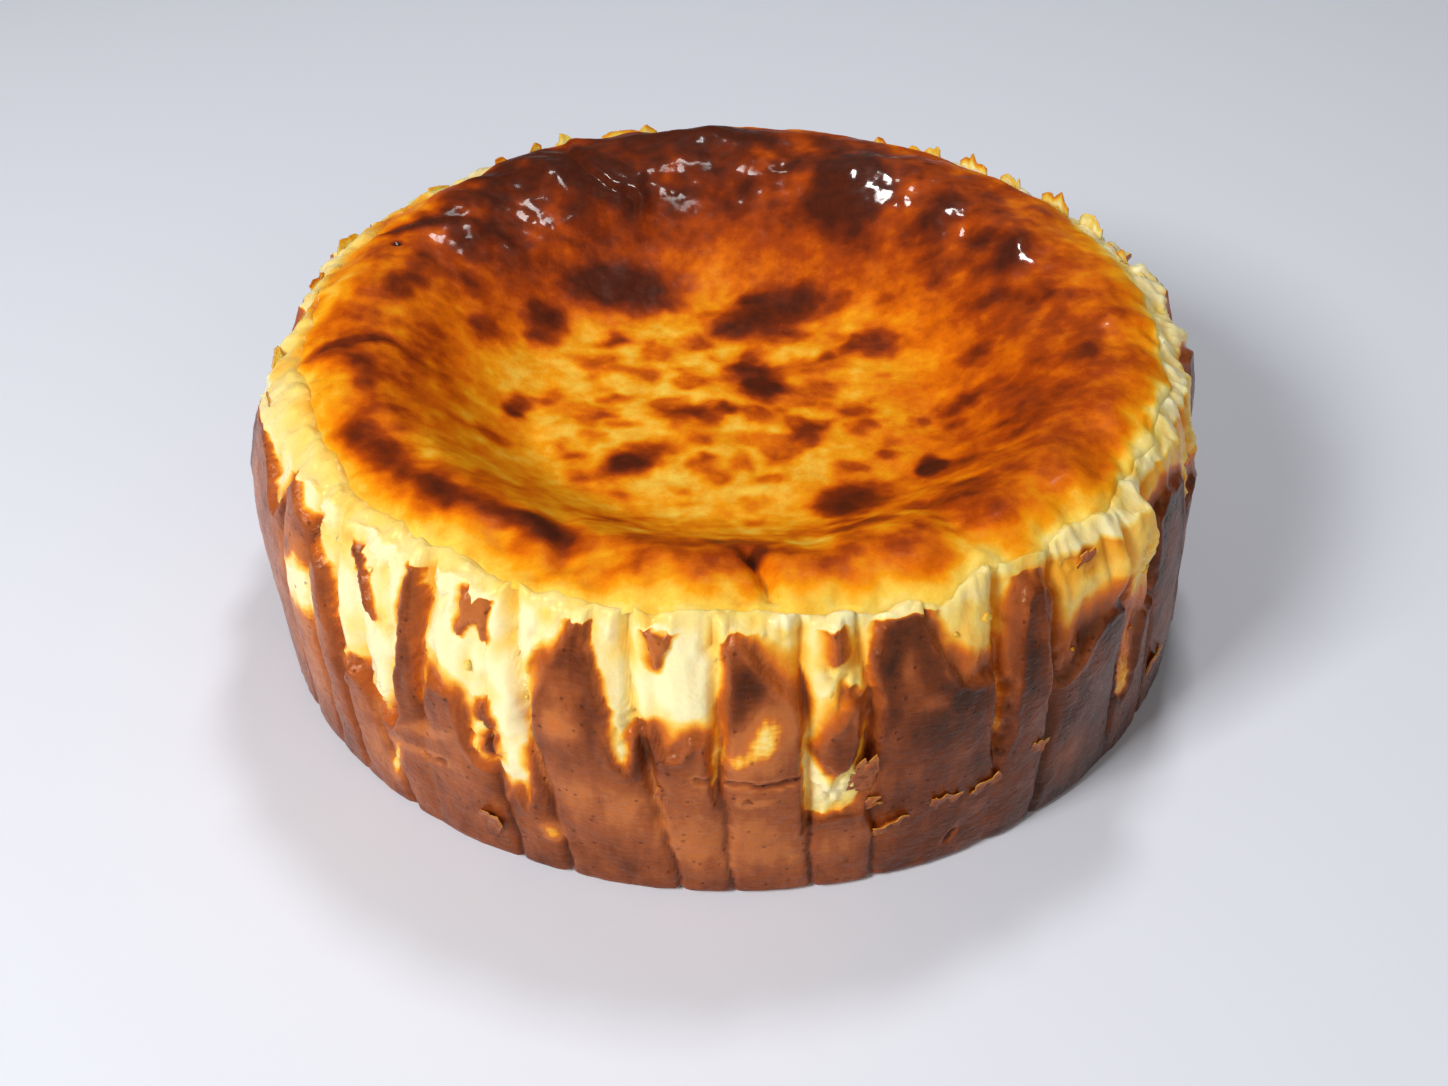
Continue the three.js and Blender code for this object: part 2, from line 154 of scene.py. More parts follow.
def off_line(x, y, start_x, start_y, end_x, end_y):
    """How far each point lies from a line, and how far to the left of it."""
    run_x = end_x - start_x
    run_y = end_y - start_y
    share = np.clip(((x - start_x) * run_x + (y - start_y) * run_y) / (run_x**2 + run_y**2), 0, 1)
    away = np.hypot(x - start_x - share * run_x, y - start_y - share * run_y)
    left = (run_x * (y - start_y) - run_y * (x - start_x)) / math.hypot(run_x, run_y)
    return away, left


def crease_depth(x, y):
    """How deep the creases pinch the rim at each point."""
    depth = np.zeros(len(x))
    for *line, half, deep in CREASES:
        away, _ = off_line(x, y, *line)
        depth = np.maximum(depth, deep * np.exp(-((away / half) ** 2)))
    return depth


def fold_step(places):
    """Rise of the lapping lobes, and how near each place is to the line of a fold."""
    x, y, _ = places.T
    bend = FOLD_BEND * lumpy(places, FOLD_BEND_SIZE, 2)
    rise = np.zeros(len(x))
    near = np.zeros(len(x))
    for *line, step in FOLDS:
        away, left = off_line(x + bend, y + bend, *line)
        lapped = ease(left, -FOLD_STEP_HALF, FOLD_STEP_HALF)
        rise += step * lapped * np.exp(-((away / FOLD_REACH) ** 2))
        near = np.maximum(near, min(1, step) * np.exp(-((away / FOLD_LINE) ** 2)))
    return rise, near


def lip_radius(angle):
    """Radius of the lip, which is a little oval and off the axis."""
    oval = LIP_OVAL * np.cos(np.radians(2 * angle)) + LIP_OFFSET * np.sin(np.radians(angle))
    return LIP_RADIUS + oval


def top_height(angle, radius):
    """Height of the browned top, with its lobes, blisters and creases."""
    turn = np.radians(angle)
    x, y, _ = round_place(angle, radius, 0).T
    crest = lip_radius(angle) - CREST_INSET
    crest_height = LIP_HEIGHT - LIP_TILT * np.cos(turn) + RIM_RISE
    outside = crest_height - RIM_RISE * np.maximum(0, (radius - crest) / CREST_INSET) ** RIM_ROUNDNESS
    floor_edge = FLOOR_BACK + (FLOOR_FRONT - FLOOR_BACK) * ease(np.cos(turn), -0.9, 0.8)
    floor = FLOOR_HEIGHT + FLOOR_DISH * np.minimum(0, (radius / floor_edge) ** 2 - 1)
    slope = floor + (crest_height - floor) * ease(radius, floor_edge, crest)
    return np.where(radius > crest, outside, slope) + plan_sum(x, y, LUMPS) - crease_depth(x, y)


def rolled(outline, lines):
    """A flat sheet rolled round the axis into a closed shape, along an outline of (radius, height)
    that starts and ends on the axis."""
    shape = bmesh.new()
    bmesh.ops.create_grid(shape, x_segments=lines, y_segments=len(outline) - 1, size=0.5)
    for vert in shape.verts:
        turn = 2 * math.pi * vert.co.x
        radius, height = outline[round((vert.co.y + 0.5) * (len(outline) - 1))]
        vert.co = (radius * math.sin(turn), -radius * math.cos(turn), height)
    bmesh.ops.remove_doubles(shape, verts=shape.verts, dist=SEAM)
    bmesh.ops.recalc_face_normals(shape, faces=shape.faces)
    return shape


def placed(name, data):
    """A new object in the scene."""
    thing = bpy.data.objects.new(name, data)
    bpy.context.scene.collection.objects.link(thing)
    return thing


def finish_piece(name, shape, finish, replaces_cake=False):
    """Makes a shape in millimetres an object that rides on the cake, with its material."""
    bmesh.ops.scale(shape, vec=(MM, MM, MM), verts=shape.verts)
    mesh = bpy.data.meshes.new(name)
    shape.to_mesh(mesh)
    shape.free()
    mesh.polygons.foreach_set("use_smooth", np.ones(len(mesh.polygons), bool))
    mesh.materials.append(finish)
    piece = placed(name, mesh)
    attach(piece, "root")
    if replaces_cake:
        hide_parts("cake")


def points_of(verts):
    """Places of a shape's points, in one array."""
    return np.array([vert.co[:] for vert in verts])


def move_points(shape, places, **marks):
    """Moves a shape's points to their places and notes the marks that its material reads."""
    for vert, place in zip(shape.verts, places.tolist()):
        vert.co = place
    for mark, values in marks.items():
        layer = shape.verts.layers.float.new(mark)
        for vert, value in zip(shape.verts, values.tolist()):
            vert[layer] = value


# Burnt spots in plan: centre, half sizes, turn of the longer side, and how much darker.
BURNT_SPOTS = [
    (-23, 30.5, 12.5, 7, 10, 0.52), (9, 25.5, 13, 7.5, 28, 0.5), (5.5, 1, 9.5, 5.5, -63, 0.48),
    (30, 12.6, 6, 5, 0, 0.4), (-38.5, 15.5, 6.5, 4.2, 80, 0.42), (-42, -10.5, 4.2, 2.8, 90, 0.42),
    (-17.5, -26.6, 9.5, 4.2, 40, 0.48), (21.7, -42, 7.5, 6.5, 60, 0.5), (37.6, -31.5, 3.8, 2.4, 80, 0.42),
    (29.5, -26, 3, 2.5, 0, 0.25), (-5, -27.6, 3.3, 3, 0, 0.2), (16.8, 6.3, 7, 3.5, 5, 0.22),
    (-24.5, 14, 4.5, 3, 0, 0.2), (-50, 8.4, 4, 2.5, 90, 0.25), (-28, -10, 7, 2.8, 0, 0.2),
    (-22, -5.6, 4, 2, 0, 0.18), (-7.7, -10, 5, 3.2, 0, 0.22), (0, -8.4, 3, 2.5, 0, 0.22),
    (26, -16, 3.6, 3.2, 0, 0.24), (16, -17.5, 4.5, 3.4, 0, 0.2), (-31, -25, 3, 2.4, 0, 0.15),
    (4, -41, 3, 2, 0, 0.12), (-14, -48, 4, 2, 0, 0.12),
    (28, 57, 13, 9, 70, 0.36), (-32, 61, 15, 7, -35, 0.34), (-55, 57, 6.5, 5, 0, 0.24),
    (-5.6, 80, 13, 6, 0, 0.22), (59.5, 26.6, 7, 4, 75, 0.22), (46, 42, 4.5, 4, 0, 0.22),
    (68.7, -10, 6, 3, 90, 0.16), (-66, 11, 7, 3.4, 75, 0.28), (-70, -11, 10, 2.4, 20, 0.2),
    (-66, -21, 8, 5, 100, 0.16), (-62, -46, 9, 3.6, -50, 0.3), (-50, -58, 8, 3, -38, 0.26),
    (-35.5, -65, 8, 3, -27, 0.3), (-28, -69, 3, 6, 5, 0.26), (-3, -68, 11, 4, 0, 0.26),
    (22, -60, 7, 4, 15, 0.3), (40, -54, 8, 4, 35, 0.24), (-66, 33, 9, 2.4, 15, 0.34),
    (-55, 30, 6, 4, 50, 0.2), (-48, 50, 9, 7, 20, 0.14), (14, -68, 4, 8, 0, -0.22),
    (-20, -72, 4, 6, 0, -0.12), (58, -25, 6, 12, 20, 0.12), (3.5, -73, 3.5, 2.2, 60, 0.35),
    (-40, 62, 20, 10, -30, 0.12), (-60, -4, 4, 8, 10, 0.16), (-15, 74, 22, 9, 0, 0.1),
    (50, 50, 14, 8, -40, 0.08), (-63, 22, 4, 7, 0, 0.14), (-57, -18, 6, 10, 15, 0.13),
    # The last three are lighter: painted light on the crests of the left rim's lobes.
    (-74, -27, 10, 4.5, -70, -0.13), (-77, 8, 11, 4.5, -97, -0.13), (-66, 46, 11, 4.5, 55, -0.15),
]
# How far a spot stands proud for each unit darker, how far its edge wanders, and a pinhole, dented
# and painted dark as painted shade inside it.
SPOT_RISE = 0.4
SPOT_WANDER = 1.2
PINHOLE = (-69.5, 26.2, 0.8, 0.8, 0, 1.0)
# Blisters that shine most, and one dull place, in the same form.
WET_SPOTS = [
    (28, 57, 11, 9, 60, 0.9), (-38, 58, 10, 6, -40, 0.3), (62, 0, 6, 8, 0, 0.4), (60, 24, 5, 7, 0, 0.4),
    (-20, 38, 19, 14, 0, -0.9),
]
# Freckles, strewn over the middle: how many, where they gather, the range of their sizes, their
# length for their width, how dark the largest is, and the most where they overlap.
FRECKLES = 170
FRECKLE_MIDDLE = (4, -8)
FRECKLE_SPREAD = (25, 19)
FRECKLE_SIZE = (1.1, 2.9)
FRECKLE_LENGTH = 1.3
FRECKLE_DARK = 0.22
FRECKLES_DARKEST = 0.26
FRECKLE_SEED = 5
freckle_rng = np.random.default_rng(FRECKLE_SEED)
freckles = [
    (x, y, FRECKLE_LENGTH * size, size, 0, FRECKLE_DARK * (size / FRECKLE_SIZE[1]) ** 0.5)
    for x, y, size in zip(
        freckle_rng.normal(FRECKLE_MIDDLE[0], FRECKLE_SPREAD[0], FRECKLES),
        freckle_rng.normal(FRECKLE_MIDDLE[1], FRECKLE_SPREAD[1], FRECKLES),
        freckle_rng.uniform(*FRECKLE_SIZE, FRECKLES))
]
# How brown the rim is by the way in from its lip, as (millimetres, brownness): at the front, at the
# right and at the back. The way in is ragged, and shorter on the left.
RIM_BROWN_FRONT = [(-7, -0.05), (-3, 0.04), (-1, 0.08), (1, 0.12), (3, 0.2), (6, 0.35), (10, 0.47),
                   (14, 0.5), (20, 0.38)]
RIM_BROWN_RIGHT = [(-3, -0.08), (-0.5, 0.05), (1, 0.2), (2.5, 0.3), (5, 0.38), (9, 0.46), (14, 0.52),
                   (20, 0.53)]
RIM_BROWN_BACK = [(-3, -0.05), (-0.5, 0.2), (1, 0.42), (4, 0.6), (9, 0.7), (14, 0.72), (20, 0.68)]
RIM_RAGGED = 3.5
RIM_RAGGED_SIZE = 7
RIM_SHORTER_LEFT = 4


def lip_wave(angle):
    """How far the lip strays in and out."""
    places = round_place(angle, LIP_RADIUS, 0)
    return 2.2 * lumpy(places, 13, 2) + 0.5 * lumpy(places, 4, 2)


def rim_lumps(angle, radius):
    """Lobes of the rim and froth at its lip, which run on from the browned top into the torn shelf."""
    places = round_place(angle, radius, 0)
    lobes = 0.9 * lumpy(round_place(angle, LIP_RADIUS, 0), 14) + 0.6 * lumpy(places, 8)
    froth = 0.3 * lumpy(places, 1.8, 2) + 1.1 * lumpy(places, 4.5)
    return lobes, froth * ease(np.cos(np.radians(angle)), -0.6, 0.2)


def rim_browning(angle, radius, inset):
    """How brown the rim is by the way in from its lip: pale outside it, amber to dark inside."""
    ragged = inset + RIM_RAGGED * lumpy(round_place(angle, radius, 0), RIM_RAGGED_SIZE, 2)
    ragged += RIM_SHORTER_LEFT * ease(-np.sin(np.radians(angle)), 0.4, 0.95)
    front = np.interp(ragged, *zip(*RIM_BROWN_FRONT))
    side = np.interp(ragged, *zip(*RIM_BROWN_RIGHT))
    rear = np.interp(ragged, *zip(*RIM_BROWN_BACK))
    turn = np.radians(angle)
    brown = front + (side - front) * ease(np.sin(turn), 0.3, 0.9)
    return brown + (rear - brown) * ease(-np.cos(turn), 0.3, 0.8)


# The top is first rolled as a flat plate, and then every point is pushed to its place.
lip = [(LIP_RADIUS - LIP_UNDERCUT, -CRUST)]
lip += [(LIP_RADIUS - LIP_CURL / 2 * (1 - math.cos(turn)), -LIP_CURL / 2 * (1 - math.sin(turn)))
        for turn in np.linspace(-math.pi / 2, math.pi / 2, EDGE_STEPS)]
plate = [(radius, -CRUST) for radius in UNDERSIDE_RADII] + lip
plate += [((LIP_RADIUS - LIP_CURL / 2) * (1 - (ring / TOP_RINGS) ** RIM_CROWDING), 0)
          for ring in range(1, TOP_RINGS + 1)]
top = rolled(plate, TOP_LINES)
plain = points_of(top.verts)
plain_radius = np.hypot(plain[:, 0], plain[:, 1])
around = np.degrees(np.arctan2(plain[:, 0], -plain[:, 1]))
wave_share = (plain_radius / LIP_RADIUS) ** LIP_WAVE_FALL
radius = plain_radius * lip_radius(around) / LIP_RADIUS + lip_wave(around) * wave_share
inset = lip_radius(around) + lip_wave(around) - radius
flat_places = round_place(around, radius, 0)
x, y, _ = flat_places.T
back = ease(-np.cos(np.radians(around)), -0.1, 0.6)
right = ease(np.sin(np.radians(around)), 0.3, 0.9)
slope = ease(plain_radius, 38, 60) * ease(inset, 3, 10)
sheltered = np.maximum(back, 0.6 * right)
fold_rise, fold_near = fold_step(flat_places)
edge_places = round_place(around, LIP_RADIUS, 0)
# Wrinkles on the slope at the back and right, waves and fine grain all over, then the spots, which
# stand a little proud, the folds with a furrow along each, and the rim's lobes and froth.
relief = 0.8 * slope * sheltered * (0.4 - np.abs(lumpy(flat_places, 16)))
relief += 0.45 * lumpy(flat_places, 10, 2) + 0.08 * lumpy(flat_places, 2.2, 2)
relief += 0.22 * slope * sheltered * lumpy(flat_places + 8, 3.6, 2)
relief += SPOT_RISE * plan_sum(x, y, BURNT_SPOTS, 2.0) - plan_sum(x, y, [PINHOLE])
relief += fold_rise - 0.5 * fold_near
lobes, froth = rim_lumps(around, radius)
relief += lobes * ease(inset, 18, 7) + froth * ease(inset, 6, 1)
height = top_height(around, radius) + plain[:, 2] + relief

# Browning runs from 0 for cream to 1 for black: that of the sunken floor and of the slope up to the
# rim, and how much more each of them has to the right and at the back. Then how much darker the folds
# are painted, as painted shade in their creases, how much lighter the rusty right of the back, the most
# on the top and under its lip, and the least that any place is wet.
FLOOR_BROWN = 0.19
FLOOR_BROWN_RIGHT = 0.14
FLOOR_BROWN_BACK = 0.2
SLOPE_BROWN = 0.34
SLOPE_BROWN_RIGHT = 0.18
SLOPE_BROWN_BACK = 0.37
FOLD_PAINTED_SHADE = 0.12
RUST_LIGHTER = 0.1
DARKEST = 0.86
UNDER_LIP_BROWN = 0.12
LEAST_WET = 0.005
warp_x = x + SPOT_WANDER * lumpy(flat_places + 30, 5, 2)
warp_y = y + SPOT_WANDER * lumpy(flat_places + 60, 5, 2)
floor_brown = FLOOR_BROWN + FLOOR_BROWN_RIGHT * ease(x, 0, 45) + FLOOR_BROWN_BACK * ease(y, 5, 40)
slope_brown = SLOPE_BROWN + SLOPE_BROWN_BACK * back + SLOPE_BROWN_RIGHT * right * (1 - back)
rim_brown = rim_browning(around, radius, inset)
rust_side = back * ease(x, 12, 45)
brown = floor_brown + (slope_brown - floor_brown) * ease(plain_radius, 32, 60)
brown = brown + (rim_brown - brown) * ease(inset, 22, 12)
brown += 0.12 * lumpy(edge_places, 12) * ease(inset, 22, 12) * ease(inset, 0, 4)
# Folds are painted darker: painted shade in their creases.
brown += FOLD_PAINTED_SHADE * fold_near - RUST_LIGHTER * rust_side * ease(inset, 0, 6)
brown += plan_sum(warp_x, warp_y, BURNT_SPOTS, 1.8)
brown += np.minimum(plan_sum(warp_x, warp_y, freckles, 1.3), FRECKLES_DARKEST)
brown += (0.1 * lumpy(flat_places, 8, 2) + 0.05 * lumpy(flat_places, 2.4, 2)) * ease(inset, 0, 5)
brown += 0.2 * slope * sheltered * lumpy(flat_places + 44, 7, 2)
brown += 0.14 * slope * (1 - sheltered) * lumpy(flat_places + 52, 5, 2)
# The pinhole is painted dark: painted shade.
brown = np.minimum(brown, DARKEST) + plan_sum(x, y, [PINHOLE])
brown = np.where(plain[:, 2] < -LIP_CURL / 2, np.minimum(brown, UNDER_LIP_BROWN), brown)
# The slope is wet in patches at the back and right, and more so where it is dark.
wet = 0.45 * slope * sheltered * (0.4 + lumpy(flat_places + 15, 9, 2)) + 0.5 * slope * (brown - 0.5)
wet = np.clip(wet + 0.3 * rust_side * slope + plan_sum(x, y, WET_SPOTS), LEAST_WET, 1)
move_points(top, round_place(around, radius, height), brown=brown, wet=wet)


class Flow:
    """What runs along one wire of a material. A sum on it adds the node that works it out."""

    def __init__(self, tree, socket=None):
        self.tree = tree
        self.socket = socket

    def node(self, kind, settings, inputs, output=0):
        """Adds a node: its settings first, then the values or wires of its sockets."""
        made = self.tree.nodes.new(kind)
        for name, value in settings.items():
            if name == "stops":
                fill_ramp(made.color_ramp, value)
            else:
                setattr(made, name, value)
        for name, value in inputs.items():
            if isinstance(value, Flow):
                self.tree.links.new(value.socket, made.inputs[name])
            else:
                made.inputs[name].default_value = value
        return Flow(self.tree, made.outputs[output])

    def work_out(self, operation, first, second):
        return self.node("ShaderNodeMath", {"operation": operation}, {0: first, 1: second})

    def __add__(self, other):
        return self.work_out("ADD", self, other)

    __radd__ = __add__

    def __sub__(self, other):
        return self.work_out("SUBTRACT", self, other)

    def __rsub__(self, other):
        return self.work_out("SUBTRACT", other, self)

    def __mul__(self, other):
        return self.work_out("MULTIPLY", self, other)

    __rmul__ = __mul__

    def __truediv__(self, other):
        return self.work_out("DIVIDE", self, other)

    def held(self, least, most):
        """The same value, kept between two limits."""
        return self.node("ShaderNodeClamp", {}, {"Value": self, "Min": least, "Max": most})

    def rise_between(self, start, end):
        """0 up to the start, 1 from the end."""
        limits = {"Value": self, "From Min": start, "From Max": end}
        return self.node("ShaderNodeMapRange", {"interpolation_type": "SMOOTHSTEP"}, limits)

    def coloured(self, stops):
        """The colour that a ramp of stops gives this value."""
        return self.node("ShaderNodeValToRGB", {"stops": stops}, {"Fac": self})

    def mixed_with(self, colour, share, blend="MIX"):
        """This colour with a share of another one mixed in."""
        settings = {"data_type": "RGBA", "blend_type": blend}
        return self.node("ShaderNodeMix", settings, {0: share, 6: self, 7: (*colour, 1)}, output=2)


def fill_ramp(ramp, stops):
    """Sets a colour ramp from (place, colour) stops, colours as seen on a screen from 0 to 255."""
    while len(ramp.elements) < len(stops):
        ramp.elements.new(1.0)
    for element, (place, colour) in zip(ramp.elements, stops):
        element.position = place
        element.color = (*screen_colour(colour), 1)


def screen_colour(colour):
    """Light mixed for a colour as seen on a screen."""
    parts = np.array(colour) / 255
    return np.where(parts < 0.04045, parts / 12.92, ((parts + 0.055) / 1.055) ** 2.4).tolist()


def new_finish(name):
    """A material with one shader, and a wire for places on the object in millimetres."""
    finish = bpy.data.materials.new(name)
    finish.use_nodes = True
    start = Flow(finish.node_tree)
    object_place = start.node("ShaderNodeTexCoord", {}, {}, output=3)
    place = start.node("ShaderNodeVectorMath", {"operation": "SCALE"}, {0: object_place, "Scale": 1 / MM})
    return finish, finish.node_tree.nodes["Principled BSDF"], place


def marked(flow, name):
    """A mark that the piece's points carry."""
    return flow.node("ShaderNodeAttribute", {"attribute_name": name}, {}, output=2)


def grain(place, size, detail=2.0, stretch=(1, 1, 1)):
    """Noise about 0, from about -0.5 to 0.5, with lumps of a size in millimetres."""
    shrunk = tuple(part / size for part in stretch)
    spot = place.node("ShaderNodeVectorMath", {"operation": "MULTIPLY"}, {0: place, 1: shrunk})
    return spot.node("ShaderNodeTexNoise", {}, {"Vector": spot, "Scale": 1.0, "Detail": detail}) - 0.5


def connect(shader, **wires):
    """Leads each wire to the shader's socket of that name, with low lines for its spaces."""
    for name, flow in wires.items():
        flow.tree.links.new(flow.socket, shader.inputs[name.replace("_", " ")])


def let_light_in(shader, weight):
    """Custard lets light in a little, red furthest."""
    shader.inputs["Subsurface Weight"].default_value = weight
    shader.inputs["Subsurface Radius"].default_value = (1.0, 0.5, 0.16)
    shader.inputs["Subsurface Scale"].default_value = 3 * MM


TOP_COLOURS = [
    (0.0, (252, 231, 150)), (0.12, (251, 206, 80)), (0.26, (244, 160, 18)), (0.4, (224, 112, 5)),
    (0.54, (174, 70, 7)), (0.7, (120, 44, 10)), (0.86, (80, 31, 14)), (1.0, (38, 17, 10)),
]
caramel, shader, place = new_finish("caramel_top")
level = marked(place, "brown") + grain(place, 2.2, 4.0) * 0.16 + grain(place, 0.6) * 0.08
wet_share = marked(place, "wet")
relief = grain(place, 1.6, 4.0) * 0.6 + grain(place, 0.4, 2.0) * 0.15
bump = place.node("ShaderNodeBump", {}, {"Strength": 0.4, "Distance": 0.4 * MM, "Height": relief})
connect(shader, Base_Color=level.coloured(TOP_COLOURS), Normal=bump, Coat_Weight=wet_share,
        Roughness=0.5 - wet_share * 0.1 + grain(place, 3.0) * 0.1)
shader.inputs["Coat Roughness"].default_value = 0.1
shader.inputs["Specular IOR Level"].default_value = 0.05
let_light_in(shader, 0.2)
finish_piece("browned_top", top, caramel, replaces_cake=True)

# The wall: custard that set against folded paper. Where the paper came away cleanly a brown skin is
# left, and where it stuck it took the skin along and bared the pale cheese. It is one closed body:
# flat foot, pleated wall, torn shelf, and a hidden face under the browned top.
FOOT_RADIUS = 94.6
FOOT_ROUNDING = 1.2
WALL_BELLY = 0.5
BELLY_HEIGHT = 24
WALL_TOP = 56
WALL_TOP_FRONT = 1.2
SHOULDER_START = 34
SHOULDER_LEAN = 3.2
SHOULDER_LEAN_FRONT = 2
SKIN_STEP = 1.1
SKIN_CURL = 0.3
CURL_INSET = 0.8
SKIN_EDGE = 0.6
LEAST_FADE = 0.45
FAR_OFF = 30.0
TINY = 1e-9
PLEAT_PILLOW = 1.0
PLEAT_HEIGHTS = (-0.9, 0.7)
GOLDEN_STEP = 0.6180339887
CRACK_DEPTH = 0.7
CRACK_HALF = 0.6
TILT_START = 12
TILT_FULL = 46
GROOVE_WIDTH = 1.15
GROOVE_FADE = 3
LEAN_HEIGHT = 50
SCALLOP = 2.4
SCALLOP_SHARPNESS = 5
CROWN = 0.7
TUCK = 5
LIP_TUCK = 3
HIDDEN_DEPTH = 5
WALL_LINES = 960
FRONT_CROWDING = 0.22
WALL_RINGS = 78
SHELF_RINGS = 16
SHELF_INNER = 80
FOOT_RADII = (0, 45, 80)
HIDDEN_RADII = (70, 55, 37, 18, 0)

# Broad places where the wall stands in from its round: angle, half width in degrees, the heights
# between which the dent grows, and its depth.
WALL_DENTS = [(68, 24, 4, 36, 2.2), (266, 12, 40, 54, 4.2)]
# Blocks of cheese that stand out below the rim on the right: the angles they lie between, the
# heights between which they grow, and how far they stand out.
CHEESE_BLOCKS = [(36.2, 43.4, 42, 53, 1.5), (44.2, 52.4, 40, 53, 3.4), (21, 27.5, 44, 54, 0.8)]

# Pleats at the front: angle of the groove on the left at the foot, how far it has leaned by
# LEAN_HEIGHT, its depth, the heights it runs between, and how far the pleat's right edge stands out.
FRONT_PLEATS = [
    (-58.5, -1, 1.1, 0, 60, -0.5),
    (-51.5, -1, 1.1, 4, 60, 0.5),
    (-46, -2.2, 2.4, 3, 60, -1),
    (-37.5, -9, 1.6, 0, 34, 0.8),
    (-34, 0, 1.7, 26, 60, -0.8),
    (-23, -4, 1.9, 0, 32, -0.8),
    (-17, -5.5, 2.2, 0, 60, -0.6),
    (-5, -5.5, 1.9, 0, 60, 0.5),
    (0.3, -2, 1.5, 0, 60, -0.8),
    (8.5, -1.2, 1.8, 0, 60, 0.5),
    (15.5, -2.2, 1.4, 0, 60, 0.8),
    (28.7, 0, 2.1, 20, 60, 1.6),
    (35.5, 0.5, 1.7, 0, 60, 3.4),
    (48.5, -1.5, 2.8, 8, 60, -0.6),
    (57, -1, 1.3, 0, 60, 1),
]

# Upper edge of the brown skin at the front, as (angle, height) from left to right.
FRONT_TEAR = [
    (-75, 56), (-70, 57), (-67, 54), (-64.5, 50), (-63.5, 44), (-62.2, 45), (-61, 50), (-58.5, 55),
    (-57, 57), (-54, 52), (-51, 49), (-49, 47), (-48.5, 40), (-47.6, 30), (-46.2, 26), (-45, 30),
    (-43.5, 29), (-42, 25), (-40.5, 21.5), (-38.5, 22), (-37.2, 26), (-37, 34), (-36.4, 44),
    (-36.3, 51), (-35.9, 56.5), (-35.2, 57), (-34.9, 52), (-34.8, 44), (-34.5, 31), (-34, 30),
    (-33.3, 34), (-32.5, 39), (-31, 39.5), (-29.5, 38), (-28.7, 38.5), (-28.5, 33), (-28, 27),
    (-26.8, 23), (-24.8, 22), (-23.8, 17.5), (-22.5, 19.5), (-21.3, 16), (-20.9, 20), (-20.7, 33),
    (-20.2, 39), (-19.6, 44), (-18.6, 50), (-17.4, 53.5), (-16.2, 58.5), (-14.9, 59), (-14.6, 53),
    (-13.6, 47), (-12.6, 41), (-12.2, 35), (-11.6, 31.5), (-10.4, 30), (-10.1, 37), (-8, 39),
    (-6.5, 35), (-5, 36), (-4, 39), (-2.6, 40), (-2.3, 35), (-1.9, 28), (-1.2, 24), (-0.9, 30),
    (-0.6, 45), (-0.4, 56), (0.6, 56.5), (1.6, 54), (2.8, 51), (4.2, 49), (5.6, 47), (6.5, 44), (6.9, 38),
    (7.1, 27), (7.5, 16), (8.2, 18.5), (9.5, 18.8), (11, 19.5), (12.3, 20), (13.3, 20), (14.2, 25),
    (14.4, 33), (14.5, 40), (14.6, 44), (14.7, 50), (14.9, 54), (15.5, 57), (17, 57.5), (19.5, 58.5),
    (20.3, 56), (20.6, 52), (22, 47), (23.5, 44), (25, 43), (27, 43.5), (27.3, 42), (27.5, 38),
    (27.9, 30), (28.4, 25), (29.5, 24), (30.2, 27), (30.3, 36), (30.4, 44), (31, 50), (31.6, 54),
    (32.3, 55.7), (34.3, 55.8), (34.4, 49), (34.5, 41), (34.8, 36), (35.3, 30), (35.6, 31),
    (36.4, 32.5), (37.5, 32), (38.5, 33), (39.8, 36), (41, 40), (42.5, 42), (44.5, 42.5), (46, 42),
    (46.8, 39), (47.8, 36), (48.5, 33), (48.6, 22), (48.8, 16), (50, 14.5), (51.5, 16), (51.8, 24),
    (52, 33.5), (54, 33.5), (56.5, 34), (56.8, 42), (57, 47), (58, 49), (60, 51), (63, 50), (65, 50),
]
# Bits of skin left above that edge, as outlines of (angle, height).
SKIN_ISLANDS = [
    [(-45, 54.3), (-43.6, 54.6), (-42.5, 51.5), (-40.8, 47.5), (-40, 44.4), (-41.6, 46), (-43.4, 49.5)],
    [(-29.2, 57), (-28, 57.4), (-27.6, 55.8), (-26.4, 57.2), (-25.4, 56.8), (-25.7, 53.5), (-25.2, 50.3),
     (-26.2, 50), (-26.8, 52.3), (-27.8, 51.6), (-28.4, 49.6), (-29.1, 49.8), (-28.6, 53.4)],
    [(-9.2, 57), (-6, 56.6), (-6.4, 54), (-7.4, 50.8), (-8.2, 53.5)],
    [(-26.5, 37), (-25.2, 37.8), (-24.3, 34), (-24.8, 32.3), (-26.2, 33)],
    [(-26, 29.5), (-24.6, 29.8), (-24.3, 26.5), (-25.5, 25.5), (-26.2, 27)],
    [(9.7, 58), (10.9, 58.5), (11.2, 57.5), (11.4, 51.5), (10.3, 51)],
    [(8, 35), (9.5, 40), (11.8, 44.5), (12.5, 43), (12.7, 36), (12, 31), (10.5, 30.5), (9, 32.5)],
]
# Where the skin fades out instead of ending in a torn edge: angle, height, reach, width of the fade.
FADED_EDGES = [
    (4, 51, 6, 4), (18, 57, 5, 2.5), (24, 45, 7, 5), (43, 42, 12, 6), (-19, 47, 5, 3),
    (-31, 40, 5, 3.5), (-6, 39, 6, 3), (11, 43, 5, 3.5), (-13.2, 45, 3, 1), (32, 52, 4, 2),
    (-41, 47, 3, 0.9), (37, 36, 8, 5), (-44, 29, 4, 2), (10.5, 55, 3, 1.6), (60, 50, 8, 3),
    (6, 46, 4, 2.5), (-60, 51, 8, 2), (-25, 21, 4, 1.5), (-40, 24, 4, 2), (54, 36, 5, 3),
]
